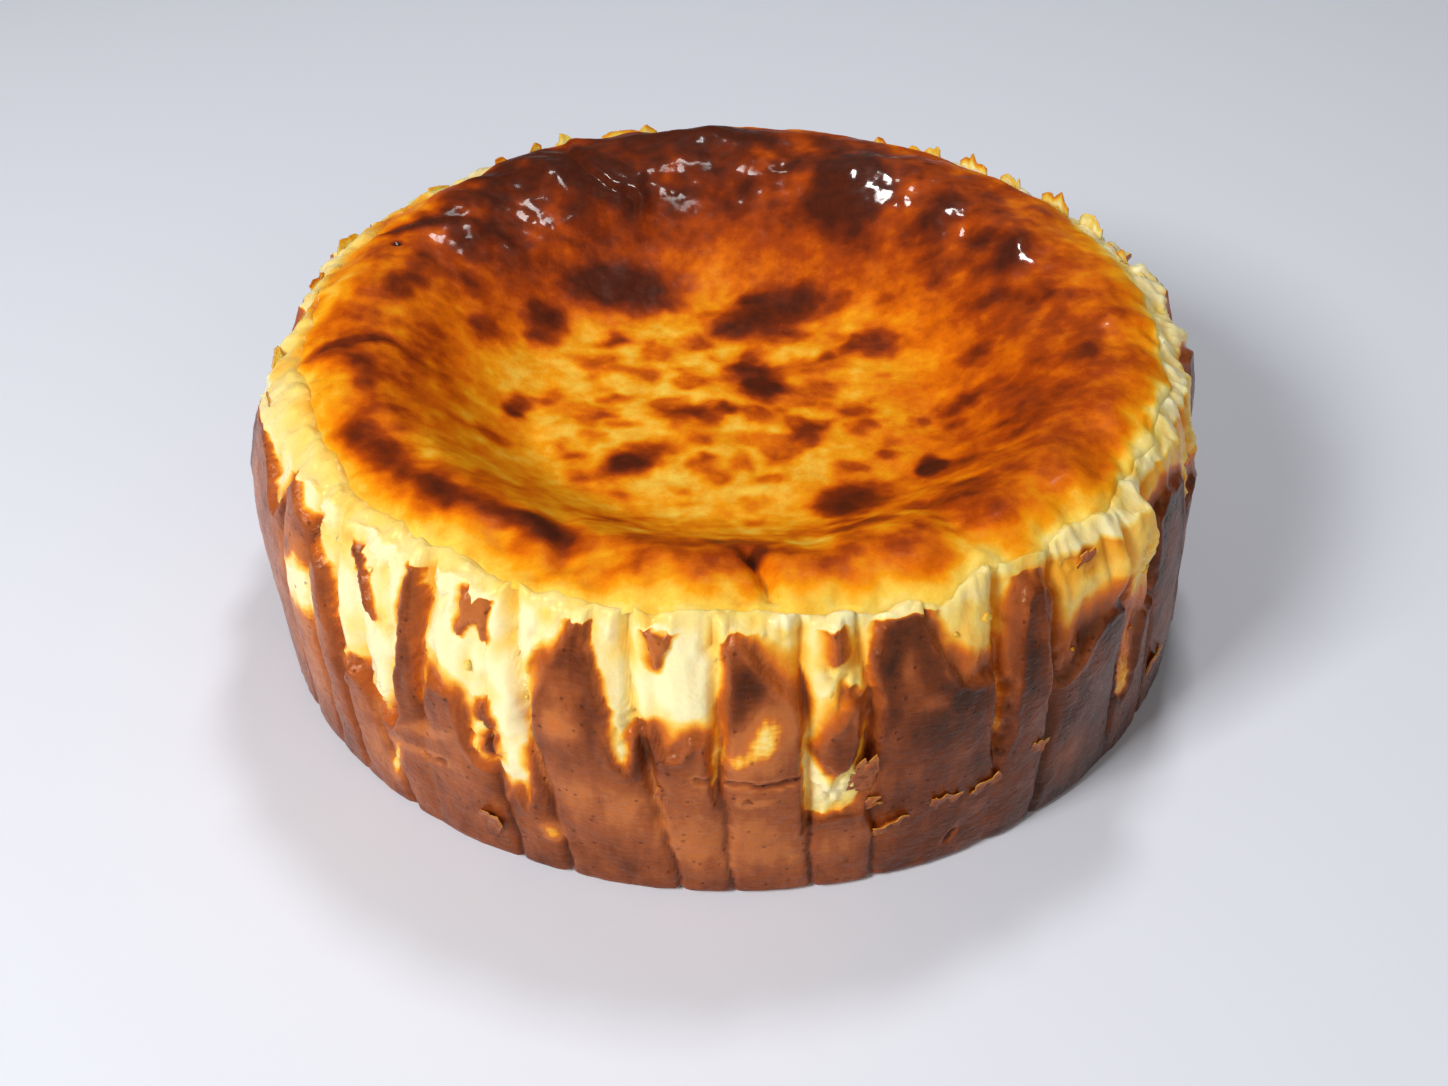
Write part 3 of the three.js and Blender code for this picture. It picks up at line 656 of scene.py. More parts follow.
# Patches of the wall that baked lighter or darker: angle, height, half width, half height in
# millimetres, turn of the width from level, and how much darker, with a minus for lighter.
WALL_PATCHES = [
    (-17, 39, 3.2, 2.6, 0, -0.5), (-14, 23, 9, 8, 0, -0.35), (-35, 19, 8, 1.3, 12, -0.6),
    (-33.5, 25.5, 8, 1.4, 22, -0.6), (-4, 14, 4, 8, 0, -0.4), (2.5, 13, 5.5, 7, 0, -0.4),
    (40, 12, 4, 6, 0, -0.35), (-41, 14, 5, 8, 0, -0.35), (-54, 16, 5, 9, 0, -0.3),
    (11.5, 11, 4, 5, 0, -0.3), (-27.3, 53.5, 4, 5, 0, -0.6), (-7.6, 54, 3, 4, 0, -0.6),
    (10.6, 54.5, 3, 5, 0, -0.5), (-55, 38, 7, 7, 20, -1.6), (-57, 44, 2.5, 2, 0, 0.9),
    (3, 39.5, 5.5, 6, 0, -1.4), (0, 34, 2.5, 2, 0, -0.9), (2.5, 25, 3, 1, 12, -0.6),
    (18, 49, 1.4, 2.4, 0, -0.6), (20.5, 42, 3.4, 1.8, 0, -0.6), (-19, 11, 2.2, 1.8, -30, -1.3),
    (-39.3, 12, 1.2, 6, -18, -1.4), (-7, 17, 1, 1.6, 0, -0.9), (16.5, 52, 5, 5, 0, 0.6),
    (20, 37, 9, 8, 0, 0.45), (1, 47, 3.5, 6, 0, 0.6), (44, 42, 6, 4, 0, 0.45),
    (-15.5, 31, 7, 5, 0, 0.25), (24, 22, 18, 16, 0, 0.35), (29, 21.5, 1.5, 1.2, 0, -0.6),
    (-1, 12, 3, 10, 0, 0.1), (-30, 10, 9, 6, 0, 0.15), (46, 20, 14, 18, 0, 0.3),
    (-20.3, 59, 0.6, 1.5, 0, 2.5), (-8, 32, 5, 4, 0, 0.3), (11, 35, 3, 4, 0, 0.3),
]
PATCH_SHARPNESS = 1.3
# The hidden wall was peeled from the same paper, so the front's marks come round again behind it: the
# middle of each run of them, and its stretch, with a minus where the run is mirrored. Then the angles
# of the front that come again, their middle, and how far and how often the marks go up and down.
REPEATS = [(120, -1.06), (230.5, 1.0)]
REPEAT_FROM = -49
REPEAT_TO = 54.5
REPEAT_MIDDLE = 2.5
REPEAT_LIFT = 5
REPEAT_WAVES = 7


def come_round(angle, height, middle, stretch):
    """Where a mark of the front comes again on the hidden wall, a little higher or lower."""
    place = middle + stretch * (angle - REPEAT_MIDDLE)
    return place, height + REPEAT_LIFT * math.cos(math.radians(REPEAT_WAVES * place))


def shown(marks):
    """The marks of the front that come round again."""
    return [mark for mark in marks if REPEAT_FROM < mark[0] < REPEAT_TO]


pleats = list(FRONT_PLEATS)
tear = list(FRONT_TEAR)
islands = list(SKIN_ISLANDS)
faded_edges = list(FADED_EDGES)
wall_patches = list(WALL_PATCHES)
for run in REPEATS:
    for angle, lean, *rest in shown(FRONT_PLEATS):
        pleats.append((come_round(angle, 0, *run)[0], run[1] * lean, *rest))
    tear += [come_round(*point, *run) for point in shown(FRONT_TEAR)]
    islands += [[come_round(*point, *run) for point in island] for island in SKIN_ISLANDS]
    faded_edges += [(*come_round(*mark[:2], *run), *mark[2:]) for mark in shown(FADED_EDGES)]
    wall_patches += [(*come_round(*mark[:2], *run), *mark[2:]) for mark in shown(WALL_PATCHES)]
pleats.sort()
tear = sorted(tear) + [(FRONT_TEAR[0][0] + 360, FRONT_TEAR[0][1])]
groove_foot, groove_lean, groove_deep, groove_from, groove_to, pleat_tilt = np.array(pleats).T
tear_angles, tear_heights = np.array(tear).T
# Cracks and small tears in the skin, as lines of (angle, height).
CRACKS = [
    [(-3.5, 30.5), (-1.5, 29.5)], [(0, 29.2), (3, 29.6), (6.5, 29.8)], [(23.5, 6), (24.5, 8)],
    [(-34, 18.5), (-31, 19.5)],
]
# Drop from the lip to the torn shelf, by angle: small where the two run into each other.
LIP_DROP = [(-180, 1.5), (-120, 0.2), (-70, -0.3), (-12, -0.3), (0, 0), (6, 0.8), (16, 0.7), (24, -0.2),
            (50, 0), (75, 0.8), (110, 1.6), (150, 1.5), (180, 1.5)]


def turn_between(start, end):
    """Degrees from one direction to another, within half a turn either way."""
    return (end - start + 180) % 360 - 180


def along_wall(start, end):
    """Millimetres round the wall from one direction to another."""
    return np.radians(turn_between(start, end)) * FOOT_RADIUS


def wall_radius(angle, height):
    """The wall's smooth form, before pleats and tears."""
    lean = SHOULDER_LEAN + SHOULDER_LEAN_FRONT * np.cos(np.radians(angle))
    up = np.maximum(0, height - SHOULDER_START) / (WALL_TOP - SHOULDER_START)
    belly = WALL_BELLY * np.sin(np.pi * np.clip(height / (2 * BELLY_HEIGHT), 0, 1))
    radius = FOOT_RADIUS + belly - lean * up**2
    for middle, half, start, full, depth in WALL_DENTS:
        across = turn_between(middle, angle) / half
        radius = radius - depth * np.exp(-(across**2)) * ease(height, start, full)
    for left, right, start, full, out in CHEESE_BLOCKS:
        between = ease(angle, left - 1.5, left + 1.5) - ease(angle, right - 0.5, right + 0.5)
        radius = radius + out * between * ease(height, start, full)
    return radius


def edge_distance(angle, height, outline):
    """Millimetres along the wall from each place to the nearest line of an outline."""
    nearest = np.full(len(angle), FAR_OFF)
    for (angle_a, height_a), (angle_b, height_b) in zip(outline, outline[1:]):
        run = math.radians(angle_b - angle_a) * FOOT_RADIUS
        rise = height_b - height_a
        off = along_wall(angle_a, angle)
        up = height - height_a
        share = np.clip((off * run + up * rise) / (run**2 + rise**2 + SEAM), 0, 1)
        nearest = np.minimum(nearest, np.hypot(off - share * run, up - share * rise))
    return nearest


def inside(angle, height, outline):
    """Whether each place lies within a closed outline, counting the sides to its left."""
    crossings = np.zeros(len(angle), int)
    for (angle_a, height_a), (angle_b, height_b) in zip(outline, outline[1:] + outline[:1]):
        spans = (height_a > height) != (height_b > height)
        share = (height - height_a) / (height_b - height_a + TINY)
        crossings += spans & (turn_between(angle_a, angle) > share * (angle_b - angle_a))
    this_side = np.abs(turn_between(outline[0][0], angle)) < 90
    return this_side & (crossings % 2 == 1)


def skin_reach(angle, height):
    """How far inside the brown skin each place lies, in millimetres, with a minus outside it."""
    start = tear_angles[0]
    below = np.interp((angle - start) % 360 + start, tear_angles, tear_heights) > height
    reach = np.where(below, 1, -1) * edge_distance(angle, height, tear)
    for island in islands:
        away = edge_distance(angle, height, island + island[:1])
        reach = np.maximum(reach, np.where(inside(angle, height, island), away, -away))
    return reach


def patch_sum(angle, height, patches):
    """Sum of soft oval patches on the wall."""
    total = np.zeros(len(angle))
    for middle, level, *oval, amount in patches:
        total += amount * soft_oval(along_wall(middle, angle), height - level, *oval, PATCH_SHARPNESS)
    return total


def pleat_at(angle, grooves):
    """The pleat that each place lies on, and the share of its width from the groove on its left."""
    past = (angle - grooves) % 360
    pleat = past.argmin(axis=0)
    row = np.arange(len(angle))
    width = (grooves[(pleat + 1) % len(grooves), row] - grooves[pleat, row]) % 360
    return pleat, past[pleat, row] / width


def wall_surface(angle, height):
    """Radius of the wall, how far inside the skin each place lies, how wide the skin's edge fades,
    and how much darker the place is than its kind."""
    smooth = wall_radius(angle, height)
    places = round_place(angle, smooth, height)
    # No crease of the paper is straight, so grooves and tears are looked up a little to one side.
    bent = angle + 0.5 * lumpy(places, 9) + 0.22 * lumpy(places, 2.6, 2)
    lifted = height + 1.1 * lumpy(places + 50, 7) + 0.55 * lumpy(places + 90, 2.6, 2)
    upper = ease(height, 10, 34)

    # Grooves between the pleats, which are wider and deeper higher up.
    grooves = groove_lean[:, None] * np.clip(height, 0, groove_to[:, None]) / LEAN_HEIGHT
    grooves = grooves + groove_foot[:, None]
    pleat, share = pleat_at(bent, grooves)
    away = along_wall(grooves, bent)
    run = ease(height, groove_from[:, None] - GROOVE_FADE, groove_from[:, None] + GROOVE_FADE)
    run = run - ease(height, groove_to[:, None] - GROOVE_FADE, groove_to[:, None] + GROOVE_FADE)
    cuts = run * np.exp(-np.abs(away / (GROOVE_WIDTH * (0.55 + 0.45 * upper))) ** 1.6)
    cut = cuts.max(axis=0)
    groove = (groove_deep[:, None] * cuts).max(axis=0) * (0.5 + 0.5 * upper)

    # Pleats are pillows, each tilted like a shingle. Skin is smooth with a curled edge and cracks, and
    # the cheese lies a step deeper, fluted, lumpy and crumbly in places.
    reach = skin_reach(bent, lifted)
    torn = ease(-reach, -SKIN_EDGE, SKIN_EDGE)
    curl = SKIN_CURL * np.exp(-((reach / CURL_INSET - 1) ** 2))
    pillow = PLEAT_PILLOW * (0.3 + 0.7 * upper) * 4 * share * (1 - share)
    shingle = pleat_tilt[pleat] * (share - 0.5) * ease(height, TILT_START, TILT_FULL)
    flutes = lumpy(places * (1, 1, 0.22), 4.5, 2)
    lumps = lumpy(places, 6, 2)
    crumb = lumpy(places, 1.6, 2)
    crumbly = ease(lumpy(places + 20, 10), 0, 0.35)
    rough = 0.8 * flutes + 0.7 * lumpy(places, 7) + (0.1 + crumbly) * crumb
    fine = 0.2 * lumps + 0.05 * crumb
    crack = np.zeros(len(angle))
    crack_lip = np.zeros(len(angle))
    for line in CRACKS:
        off = edge_distance(bent, lifted, line) / CRACK_HALF
        crack = np.maximum(crack, np.exp(-(off**2)))
        crack_lip = np.maximum(crack_lip, np.exp(-((off - 1.5) ** 2)))
    radius = smooth + pillow + shingle - groove - SKIN_STEP * torn + curl
    radius += torn * rough + (1 - torn) * (fine - CRACK_DEPTH * crack)

    soft = np.zeros(len(angle))
    for middle, level, reach_out, extra in faded_edges:
        across = along_wall(middle, angle)
        soft += extra * np.exp(-((across**2 + (height - level) ** 2) / reach_out**2))
    fade = LEAST_FADE + soft + np.maximum(0, 2 * lumpy(places + 33, 8, 2))

    # Painted shade: the right of the wall, turned away from the light, is painted darker, and its torn
    # cheese a deeper gold, as cheese looks in shade. Painted light: the skin on the left is painted
    # lighter as a sheen, and the cheese on the left paler. Skin is burnt near its upper edge.
    tone = patch_sum(bent, lifted, wall_patches) * (1 - torn * 0.6)
    painted_shade_right = ease(angle, 12, 40) - ease(angle, 70, 100)
    tone += painted_shade_right * (0.5 + 0.15 * torn) - 0.12 * ease(angle, -30, -50) * (1 - torn)
    tone -= 0.16 * torn * ease(angle, 2, -12)
    burnt_edge = np.exp(-(((reach - 2.4) / 2) ** 2)) * ease(height, 22, 40)
    tone += 0.5 * burnt_edge * ease(lumpy(places + 25, 11), -0.4, 0.3)
    # Skin is tan and brown in blotches and darker at the foot. Its grooves are painted dark low down,
    # painted shade, and golden higher up where cheese shows; its cracks are painted dark inside, painted
    # shade, with a lighter lip.
    golden = ease(height, 12, 30) * ease(lumpy(places + 12, 16), -0.25, 0.25)
    tan = 0.04 + 0.28 * lumpy(places + 70, 15, 2) + 0.18 * lumpy(places + 75, 5, 2)
    tan += 0.2 * lumpy(places * (1, 1, 0.3), 3, 2) + 0.35 * ease(height, 14, 0)
    tone += (1 - torn) * (tan + cut * ease(cut, 0.3, 0.9) * (0.5 - 1.6 * golden))
    tone += (1 - torn) * (0.6 * crack - 0.5 * crack_lip * (1 - crack))
    # Cheese is painted deeper in its grooves and hollows and lighter on its raised crumbs, painted shade
    # and light, and amber where it nears the skin.
    hollow_shade = np.maximum(-0.3, -flutes - lumps)
    glow = 0.4 * np.exp(-((reach / 4) ** 2)) * ease(lumpy(places + 18, 10), -0.4, 0.4)
    tone += torn * (0.5 * cut + 0.35 * hollow_shade + 0.24 * lumpy(places + 66, 9, 2) + glow + 0.06)
    tone -= torn * 0.1 * crumbly * crumb
    return radius, reach, fade, tone


def spread(count, least, most):
    """One of a run of uneven numbers that fill the range evenly."""
    return least + (most - least) * ((count * GOLDEN_STEP) % 1)


pleat_height = np.array([spread(13 * number + 3, *PLEAT_HEIGHTS) for number in range(len(pleats))])


def even_top(angle):
    """Height of the wall's upper edge before it is ragged."""
    return WALL_TOP + WALL_TOP_FRONT * np.cos(np.radians(angle))


def wall_top(angle):
    """Height of the wall's ragged upper edge."""
    grooves = (groove_foot + groove_lean * WALL_TOP / LEAN_HEIGHT)[:, None] + 0 * angle
    pleat, share = pleat_at(angle, grooves)
    dip = SCALLOP * np.abs(2 * share - 1) ** SCALLOP_SHARPNESS
    ragged = 0.9 * lumpy(round_place(angle, FOOT_RADIUS, 0), 3.5, 2)
    return even_top(angle) - dip + pleat_height[pleat] + ragged


# The wall is first rolled as a plain drum, and then every point is pushed to its place.
drum = [(radius, 0) for radius in FOOT_RADII] + [(FOOT_RADIUS - FOOT_ROUNDING, 0)]
drum += [(FOOT_RADIUS, FOOT_ROUNDING + (WALL_TOP - FOOT_ROUNDING) * ring / WALL_RINGS)
         for ring in range(WALL_RINGS + 1)]
drum += [(FOOT_RADIUS + (SHELF_INNER - FOOT_RADIUS) * ring / SHELF_RINGS, WALL_TOP)
         for ring in range(1, SHELF_RINGS + 1)]
drum += [(radius, WALL_TOP) for radius in HIDDEN_RADII]
wall = rolled(drum, WALL_LINES)
plain = points_of(wall.verts)
plain_radius = np.hypot(plain[:, 0], plain[:, 1])
plain_turn = np.arctan2(plain[:, 0], -plain[:, 1])
around = np.degrees(plain_turn - FRONT_CROWDING * np.sin(plain_turn))
on_foot = plain[:, 2] < SEAM
on_wall = plain_radius > FOOT_RADIUS - SEAM
on_shelf = ~on_foot & ~on_wall & (plain_radius > SHELF_INNER - SEAM)

edge_height = wall_top(around)
share_up = (plain[:, 2] - FOOT_ROUNDING) / (WALL_TOP - FOOT_ROUNDING)
level = np.where(on_wall, FOOT_ROUNDING + share_up * (edge_height - FOOT_ROUNDING), edge_height)
level = np.where(on_foot, 0, level)
shell, reach, fade, tone = wall_surface(around, level)
inward = (FOOT_RADIUS - plain_radius) / (FOOT_RADIUS - SHELF_INNER)
lip_edge = lip_radius(around) + lip_wave(around)
shelf_radius = shell + (lip_edge - TUCK - shell) * inward
reached = np.clip((shell - shelf_radius) / np.maximum(shell - lip_edge, 1), 0, 1)
shelf_places = round_place(around, shelf_radius, edge_height)
shelf_plan = shelf_places * (1, 1, 0)
drop = np.interp(around, *zip(*LIP_DROP))
lobes, froth = rim_lumps(around, shelf_radius)
under = top_height(around, lip_edge) - drop + lobes + froth + 0.45 * lumpy(shelf_plan, 10, 2)
under -= LIP_TUCK * ease(lip_edge - shelf_radius, 0, TUCK)
even_edge = even_top(around) - 0.4
shelf_start = edge_height + (even_edge - edge_height) * ease(reached, 0, 0.35)
shelf_height = shelf_start + (under - shelf_start) * ease(reached, 0, 1) ** 0.8
hidden = ease(-np.cos(np.radians(around)), -0.4, 0.2)
shelf_lumps = (1.3 + 0.6 * hidden) * lumpy(shelf_plan, 5) + 0.5 * lumpy(shelf_plan, 2, 2)
shelf_height += CROWN * ease(reached, 0, 0.12) * (1 - reached)
shelf_height += shelf_lumps * ease(reached, 0.02, 0.25) * ease(reached, 1, 0.6)
hidden_height = top_height(around, plain_radius) - HIDDEN_DEPTH

radius = np.select([on_foot, on_wall, on_shelf], [plain_radius, shell, shelf_radius], plain_radius)
foot_edge = on_foot & (plain_radius > FOOT_RADII[-1] + SEAM)
radius = np.where(foot_edge, shell - FOOT_ROUNDING, radius)
height = np.select([on_foot, on_wall, on_shelf], [0 * level, level, shelf_height], hidden_height)
# On the way from bared cheese to skin a place is this far baked, before its own tone. A place that is
# all skin lies this many millimetres within it, and one that is all cheese as far outside it.
CHEESE = -1.45
SKIN = 0.45
WELL_IN = 3
FOOT_TONE = 0.15
# The shelf's cheese is painted paler on its lumps and deeper between them: painted light and shade.
cream = 0.1 + 0.15 * lumpy(shelf_places, 6, 2) - 0.3 * shelf_lumps + 0.1 * ease(reached, 0.3, 1)
rim_tint = 0.1 + 2.7 * rim_browning(around, shelf_radius, lip_edge - shelf_radius)
cream += np.maximum(rim_tint - cream, 0) * ease(drop, 0.7, 0.1)
ended = ease(reached, 0, 0.12) * on_shelf
reach = np.minimum(reach, WELL_IN) * (1 - ended) - WELL_IN * ended
reach = np.where(on_foot, WELL_IN, reach)
tone = np.where(on_foot, FOOT_TONE, tone * (1 - ended) + cream * ended)
move_points(wall, round_place(around, radius, height), reach=reach, fade=fade * (1 - ended), tone=tone)

BAKED_LEAST = -1.6
BAKED_MOST = 1.6
SKIN_COLOURS = [
    (-1.5, (251, 238, 190)), (-1.0, (248, 214, 112)), (-0.62, (242, 172, 46)), (-0.28, (214, 116, 24)),
    (0.0, (182, 92, 34)), (0.4, (154, 80, 38)), (0.95, (106, 46, 16)), (1.5, (54, 20, 8)),
]
BAKED_SPAN = BAKED_MOST - BAKED_LEAST
TAN = (196, 116, 58)
TAN_DEPTH = 0.45
TAN_MOST = 0.65
PORE_SPACING = 2.6
PORE_EDGE = 0.16
PORE_FLOOR = 0.08
PORE_PAINTED_SHADE = (0.35, 0.22, 0.15)
torn_skin, shader, place = new_finish("torn_skin")
ragged = marked(place, "reach") + grain(place, 1.4, 4.0) * 0.7
fade_mark = marked(place, "fade")
skin_mark = ragged.rise_between(-0.15, 0.3)
torn_mark = 1 - skin_mark
bared = (ragged / (fade_mark + 0.15)).held(CHEESE, 0)
baked_on = (ragged / (fade_mark * 0.8 + 0.35)).held(0, SKIN)
fibres = grain(place, 1.1, 2.0, stretch=(1, 1, 0.25)) + grain(place, 0.7, 2.0, stretch=(0.3, 0.3, 1))
tone_mark = marked(place, "tone") + skin_mark * (fibres * 0.4 + grain(place, 5.0, 3.0) * 0.35)
# Skin that baked a little lighter is tan, and only the lightest of it goes over to gold.
golden = (tone_mark + TAN_DEPTH).held(-2, 0)
level = bared + baked_on + skin_mark * (tone_mark.held(0, 2) + golden * 1.6)
level = level + torn_mark * (tone_mark + grain(place, 3.0, 3.0) * 0.12)
share = (level - BAKED_LEAST) * (1 / BAKED_SPAN)
colour = share.coloured([((at - BAKED_LEAST) / BAKED_SPAN, shade) for at, shade in SKIN_COLOURS])
tan_share = tone_mark.rise_between(0, -TAN_DEPTH) * skin_mark * golden.rise_between(-0.8, -0.1)
colour = colour.mixed_with(screen_colour(TAN), tan_share * TAN_MOST)
# Pores are painted dark: painted shade in the pits.
to_pore = place.node("ShaderNodeTexVoronoi", {}, {"Vector": place, "Scale": 1 / PORE_SPACING})
pores = to_pore.rise_between(PORE_EDGE, PORE_FLOOR) * skin_mark
colour = colour.mixed_with(PORE_PAINTED_SHADE, pores * 0.6, "MULTIPLY")
wrinkles = grain(place, 1.4, 4.0) * 0.6 + grain(place, 0.8, 2.0, stretch=(0.4, 0.4, 1)) * 0.4
crumbs_relief = grain(place, 1.2, 4.0) * 0.5
relief = skin_mark * (wrinkles - pores * 0.6) + torn_mark * crumbs_relief
bump = place.node("ShaderNodeBump", {}, {"Strength": 0.8, "Distance": 0.5 * MM, "Height": relief})
connect(shader, Base_Color=colour, Normal=bump,
        Roughness=0.3 - torn_mark * 0.04 + grain(place, 2.5) * 0.2)
shader.inputs["Specular IOR Level"].default_value = 0.3
shader.inputs["Specular Tint"].default_value = (1, 0.72, 0.5, 1)
let_light_in(shader, 0.4)
finish_piece("cake_wall", wall, torn_skin, replaces_cake=True)

# Shards: thin leaves of skin and cheese that stand up from the wall's top edge behind the rim, where
# the paper pulled them as it was peeled away. They grow out of the wall.
SHARD_ROOT = 5
SHARD_SUNK = 3.4
SHARD_THICK = 1.1
SHARD_TEETH = 13
LEAF_STEPS = 18
LEAF_THINNING = 0.75
LEAF_NARROWING = 0.1
LEAF_RIM = 0.2
LEAF_WOBBLE = 0.35
LEAF_WOBBLE_SIZE = 2.2
# Ranges over the shards: the share of its height that a tooth keeps, lean outwards, turn on the wall,
# bend at the tip, and how far baked the middle and the edge are.
TOOTH_SHARES = (0.65, 1)
SHARD_LEANS = (-6, 12)
SHARD_TURNS = (-10, 10)
SHARD_BENDS = (-1, 1.6)
SHARD_BAKED = (-1.3, -0.8)
SHARD_EDGE_BAKED = (-0.9, 0.1)
# Angle, width, height above the wall's edge, and the share of it that the shard reaches at even
# steps from its right end, seen from outside, to its left.
SHARDS = [
    (104, 8, 2.4, (0.7, 1, 0.8)), (111, 9, 3.6, (0.6, 0.9, 1, 0.7, 0.8, 0.6)),
    (119, 8, 5.4, (0.6, 0.9, 1, 0.8, 0.6)), (126, 9, 6.4, (0.6, 0.7, 1, 0.7, 1, 0.9, 0.6)),
    (134, 6, 6, (0.8, 1, 1, 0.6)), (141, 8, 6.6, (0.6, 0.7, 0.6, 1, 1, 0.7)),
    (149, 10, 6.4, (0.7, 1, 1, 0.6, 0.8, 0.8, 0.5)), (158, 7, 4.6, (0.6, 1, 0.9, 0.6)),
    (167, 8, 2.8, (0.6, 1, 0.8, 0.9, 0.6)), (178, 9, 2.8, (0.5, 0.8, 1, 0.6)),
    (195, 15, 5.4, (0.6, 0.9, 0.9, 1, 0.95, 0.9, 0.8, 0.6)), (205, 5, 6, (0.8, 1, 1, 0.7)),
    (213, 13, 7.4, (0.8, 1, 0.6, 0.55, 0.55, 0.6, 0.95, 0.8)), (227, 8, 3.4, (0.6, 0.9, 1, 0.7)),
    (236, 6, 2.4, (0.7, 1, 0.7)), (246, 9, 3, (0.6, 1, 0.8, 0.9, 0.6)), (257, 8, 2.8, (0.6, 0.9, 1, 0.7)),
    (267, 6, 2.4, (0.7, 1, 0.8)), (276, 8, 2.2, (0.6, 0.9, 1, 0.7)), (286, 6, 1.8, (0.7, 1, 0.7)),
]


def leaf(shape, width, tall, outline, thick, bend, stand, skin, edge):
    """Adds a thin torn leaf: local X runs along the wall, Y up it and Z outwards. The outline gives
    the share of its height that the leaf reaches at even steps across it."""
    reach_layer = shape.verts.layers.float["reach"]
    tone_layer = shape.verts.layers.float["tone"]
    grid = bmesh.ops.create_grid(shape, x_segments=LEAF_STEPS, y_segments=LEAF_STEPS, size=0.5)
    inner = grid["verts"]
    faces = list({face for vert in inner for face in vert.link_faces})
    outer = [part for part in bmesh.ops.extrude_face_region(shape, geom=faces)["geom"]
             if isinstance(part, bmesh.types.BMVert)]
    stations = np.linspace(0, 1, len(outline))
    for side, verts in enumerate((inner, outer)):
        for vert in verts:
            across = vert.co.x + 0.5
            up = vert.co.y + 0.5
            reach = float(np.interp(across, stations, outline))
            spot = np.array([[across * width, up * tall, stand.translation.x]])
            wobble = float(lumpy(spot, LEAF_WOBBLE_SIZE, 2)[0])
            vert.co = stand @ Vector((
                (across - 0.5) * width * (1 - LEAF_NARROWING * up) + LEAF_WOBBLE * wobble * up,
                up * reach * tall,
                bend * up**2 + LEAF_WOBBLE * wobble + thick * (1 - LEAF_THINNING * up) * side,
            ))
            rim = min(across + 0.1, 1.1 - across, 1 - up) / LEAF_RIM
            middle = (skin if side else skin - 0.3) + 0.3 * wobble
            baked = edge + (middle - edge) * min(1, rim) + 0.25 * wobble
            vert[reach_layer] = WELL_IN if side else -WELL_IN
            vert[tone_layer] = baked - (SKIN if side else CHEESE)


def stand_on_wall(angle, height, sunk, lean, turn):
    """Where a leaf grows from the wall: tipped outwards by the lean, and turned flat on the wall."""
    radius = float(wall_radius(np.array([angle]), np.array([height]))[0]) - sunk
    spot = round_place(np.array([angle]), radius, height)[0]
    upright = Matrix.Rotation(math.radians(angle), 4, "Z") @ Matrix.Rotation(math.radians(90), 4, "X")
    tip = Matrix.Rotation(math.radians(turn), 4, "Z") @ Matrix.Rotation(math.radians(lean), 4, "X")
    return Matrix.Translation(spot) @ upright @ tip


def marked_shape():
    """An empty shape whose points carry the marks that the wall's material reads."""
    shape = bmesh.new()
    for mark in ("reach", "fade", "tone"):
        shape.verts.layers.float.new(mark)
    return shape


shards = marked_shape()
for number, (angle, width, rise, shares) in enumerate(SHARDS):
    tall = SHARD_ROOT + rise
    teeth = np.interp(np.linspace(0, 1, SHARD_TEETH), np.linspace(0, 1, len(shares)), shares)
    outline = [(SHARD_ROOT + rise * share * spread(4 * number + 5 * tooth, *TOOTH_SHARES)) / tall
               for tooth, share in enumerate(teeth)]
    stand = stand_on_wall(angle, even_top(angle) - SHARD_ROOT, SHARD_SUNK,
                          spread(number + 1, *SHARD_LEANS), spread(3 * number, *SHARD_TURNS))
    leaf(shards, width, tall, outline, SHARD_THICK, spread(5 * number, *SHARD_BENDS), stand,
         spread(7 * number, *SHARD_BAKED), spread(9 * number, *SHARD_EDGE_BAKED))
bmesh.ops.recalc_face_normals(shards, faces=shards.faces)
finish_piece("rim_shards", shards, torn_skin)

# Flakes: scraps of the brown skin that the paper lifted as it was peeled away. They are as thin as the
# skin, and each hangs or curls from the wall by a root that is still grown to it.
FLAKE_THICK = 0.8
FLAKE_SUNK = 0.5
FLAKE_STEPS = 6
FLAKE_SHARES = (0.6, 1)
FLAKE_BENDS = (-0.6, 1)
FLAKE_BAKED = 0.4
FLAKE_EDGE_BAKED = -0.2
# Angle, height, width, height of the flake, lean outwards, turn on the wall, how deep its root sits.
FLAKES = [
    (-27.5, 6, 5.5, 9, 16, -32, 0.4), (13, 24, 4.5, 11, 13, -10, 0.9), (12.5, 19, 2.4, 7, 16, -58, 0.9),
    (40.7, 54, 3.6, 4, 24, 0, 1.2), (59, 7, 7, 10, 16, -8, 0.9), (17, 13.5, 7, 4, 16, 14, 0.1),
    (22.5, 15.5, 6, 5, 14, -8, 0.1), (28, 16, 7, 3.4, 18, 20, 0.1), (34, 19, 4, 4.4, 20, -16, 0.1),
    (3, 26.5, 7, 3, 18, 176, -0.2), (-6.5, 27, 3, 3, 20, 160, -0.1), (100, 17, 5, 5, 20, 24, 0.2),
    (138, 11, 4, 4, 24, -20, 0.2), (171, 21, 5, 6, 16, 14, 0.2), (207, 13, 6, 4, 20, -30, 0.2),
    (241, 19, 4, 6, 18, 18, 0.2), (272, 12, 5, 4, 22, -12, 0.2),
]
flakes = marked_shape()
for number, (angle, height, width, tall, lean, turn, sunk) in enumerate(FLAKES):
    outline = [spread(5 * number + step, *FLAKE_SHARES) for step in range(FLAKE_STEPS)]
    stand = stand_on_wall(angle, height, sunk + FLAKE_SUNK, lean, turn)
    leaf(flakes, width, tall, outline, FLAKE_THICK, spread(3 * number + 1, *FLAKE_BENDS), stand,
         FLAKE_BAKED, FLAKE_EDGE_BAKED)
bmesh.ops.recalc_face_normals(flakes, faces=flakes.faces)
finish_piece("skin_flakes", flakes, torn_skin)

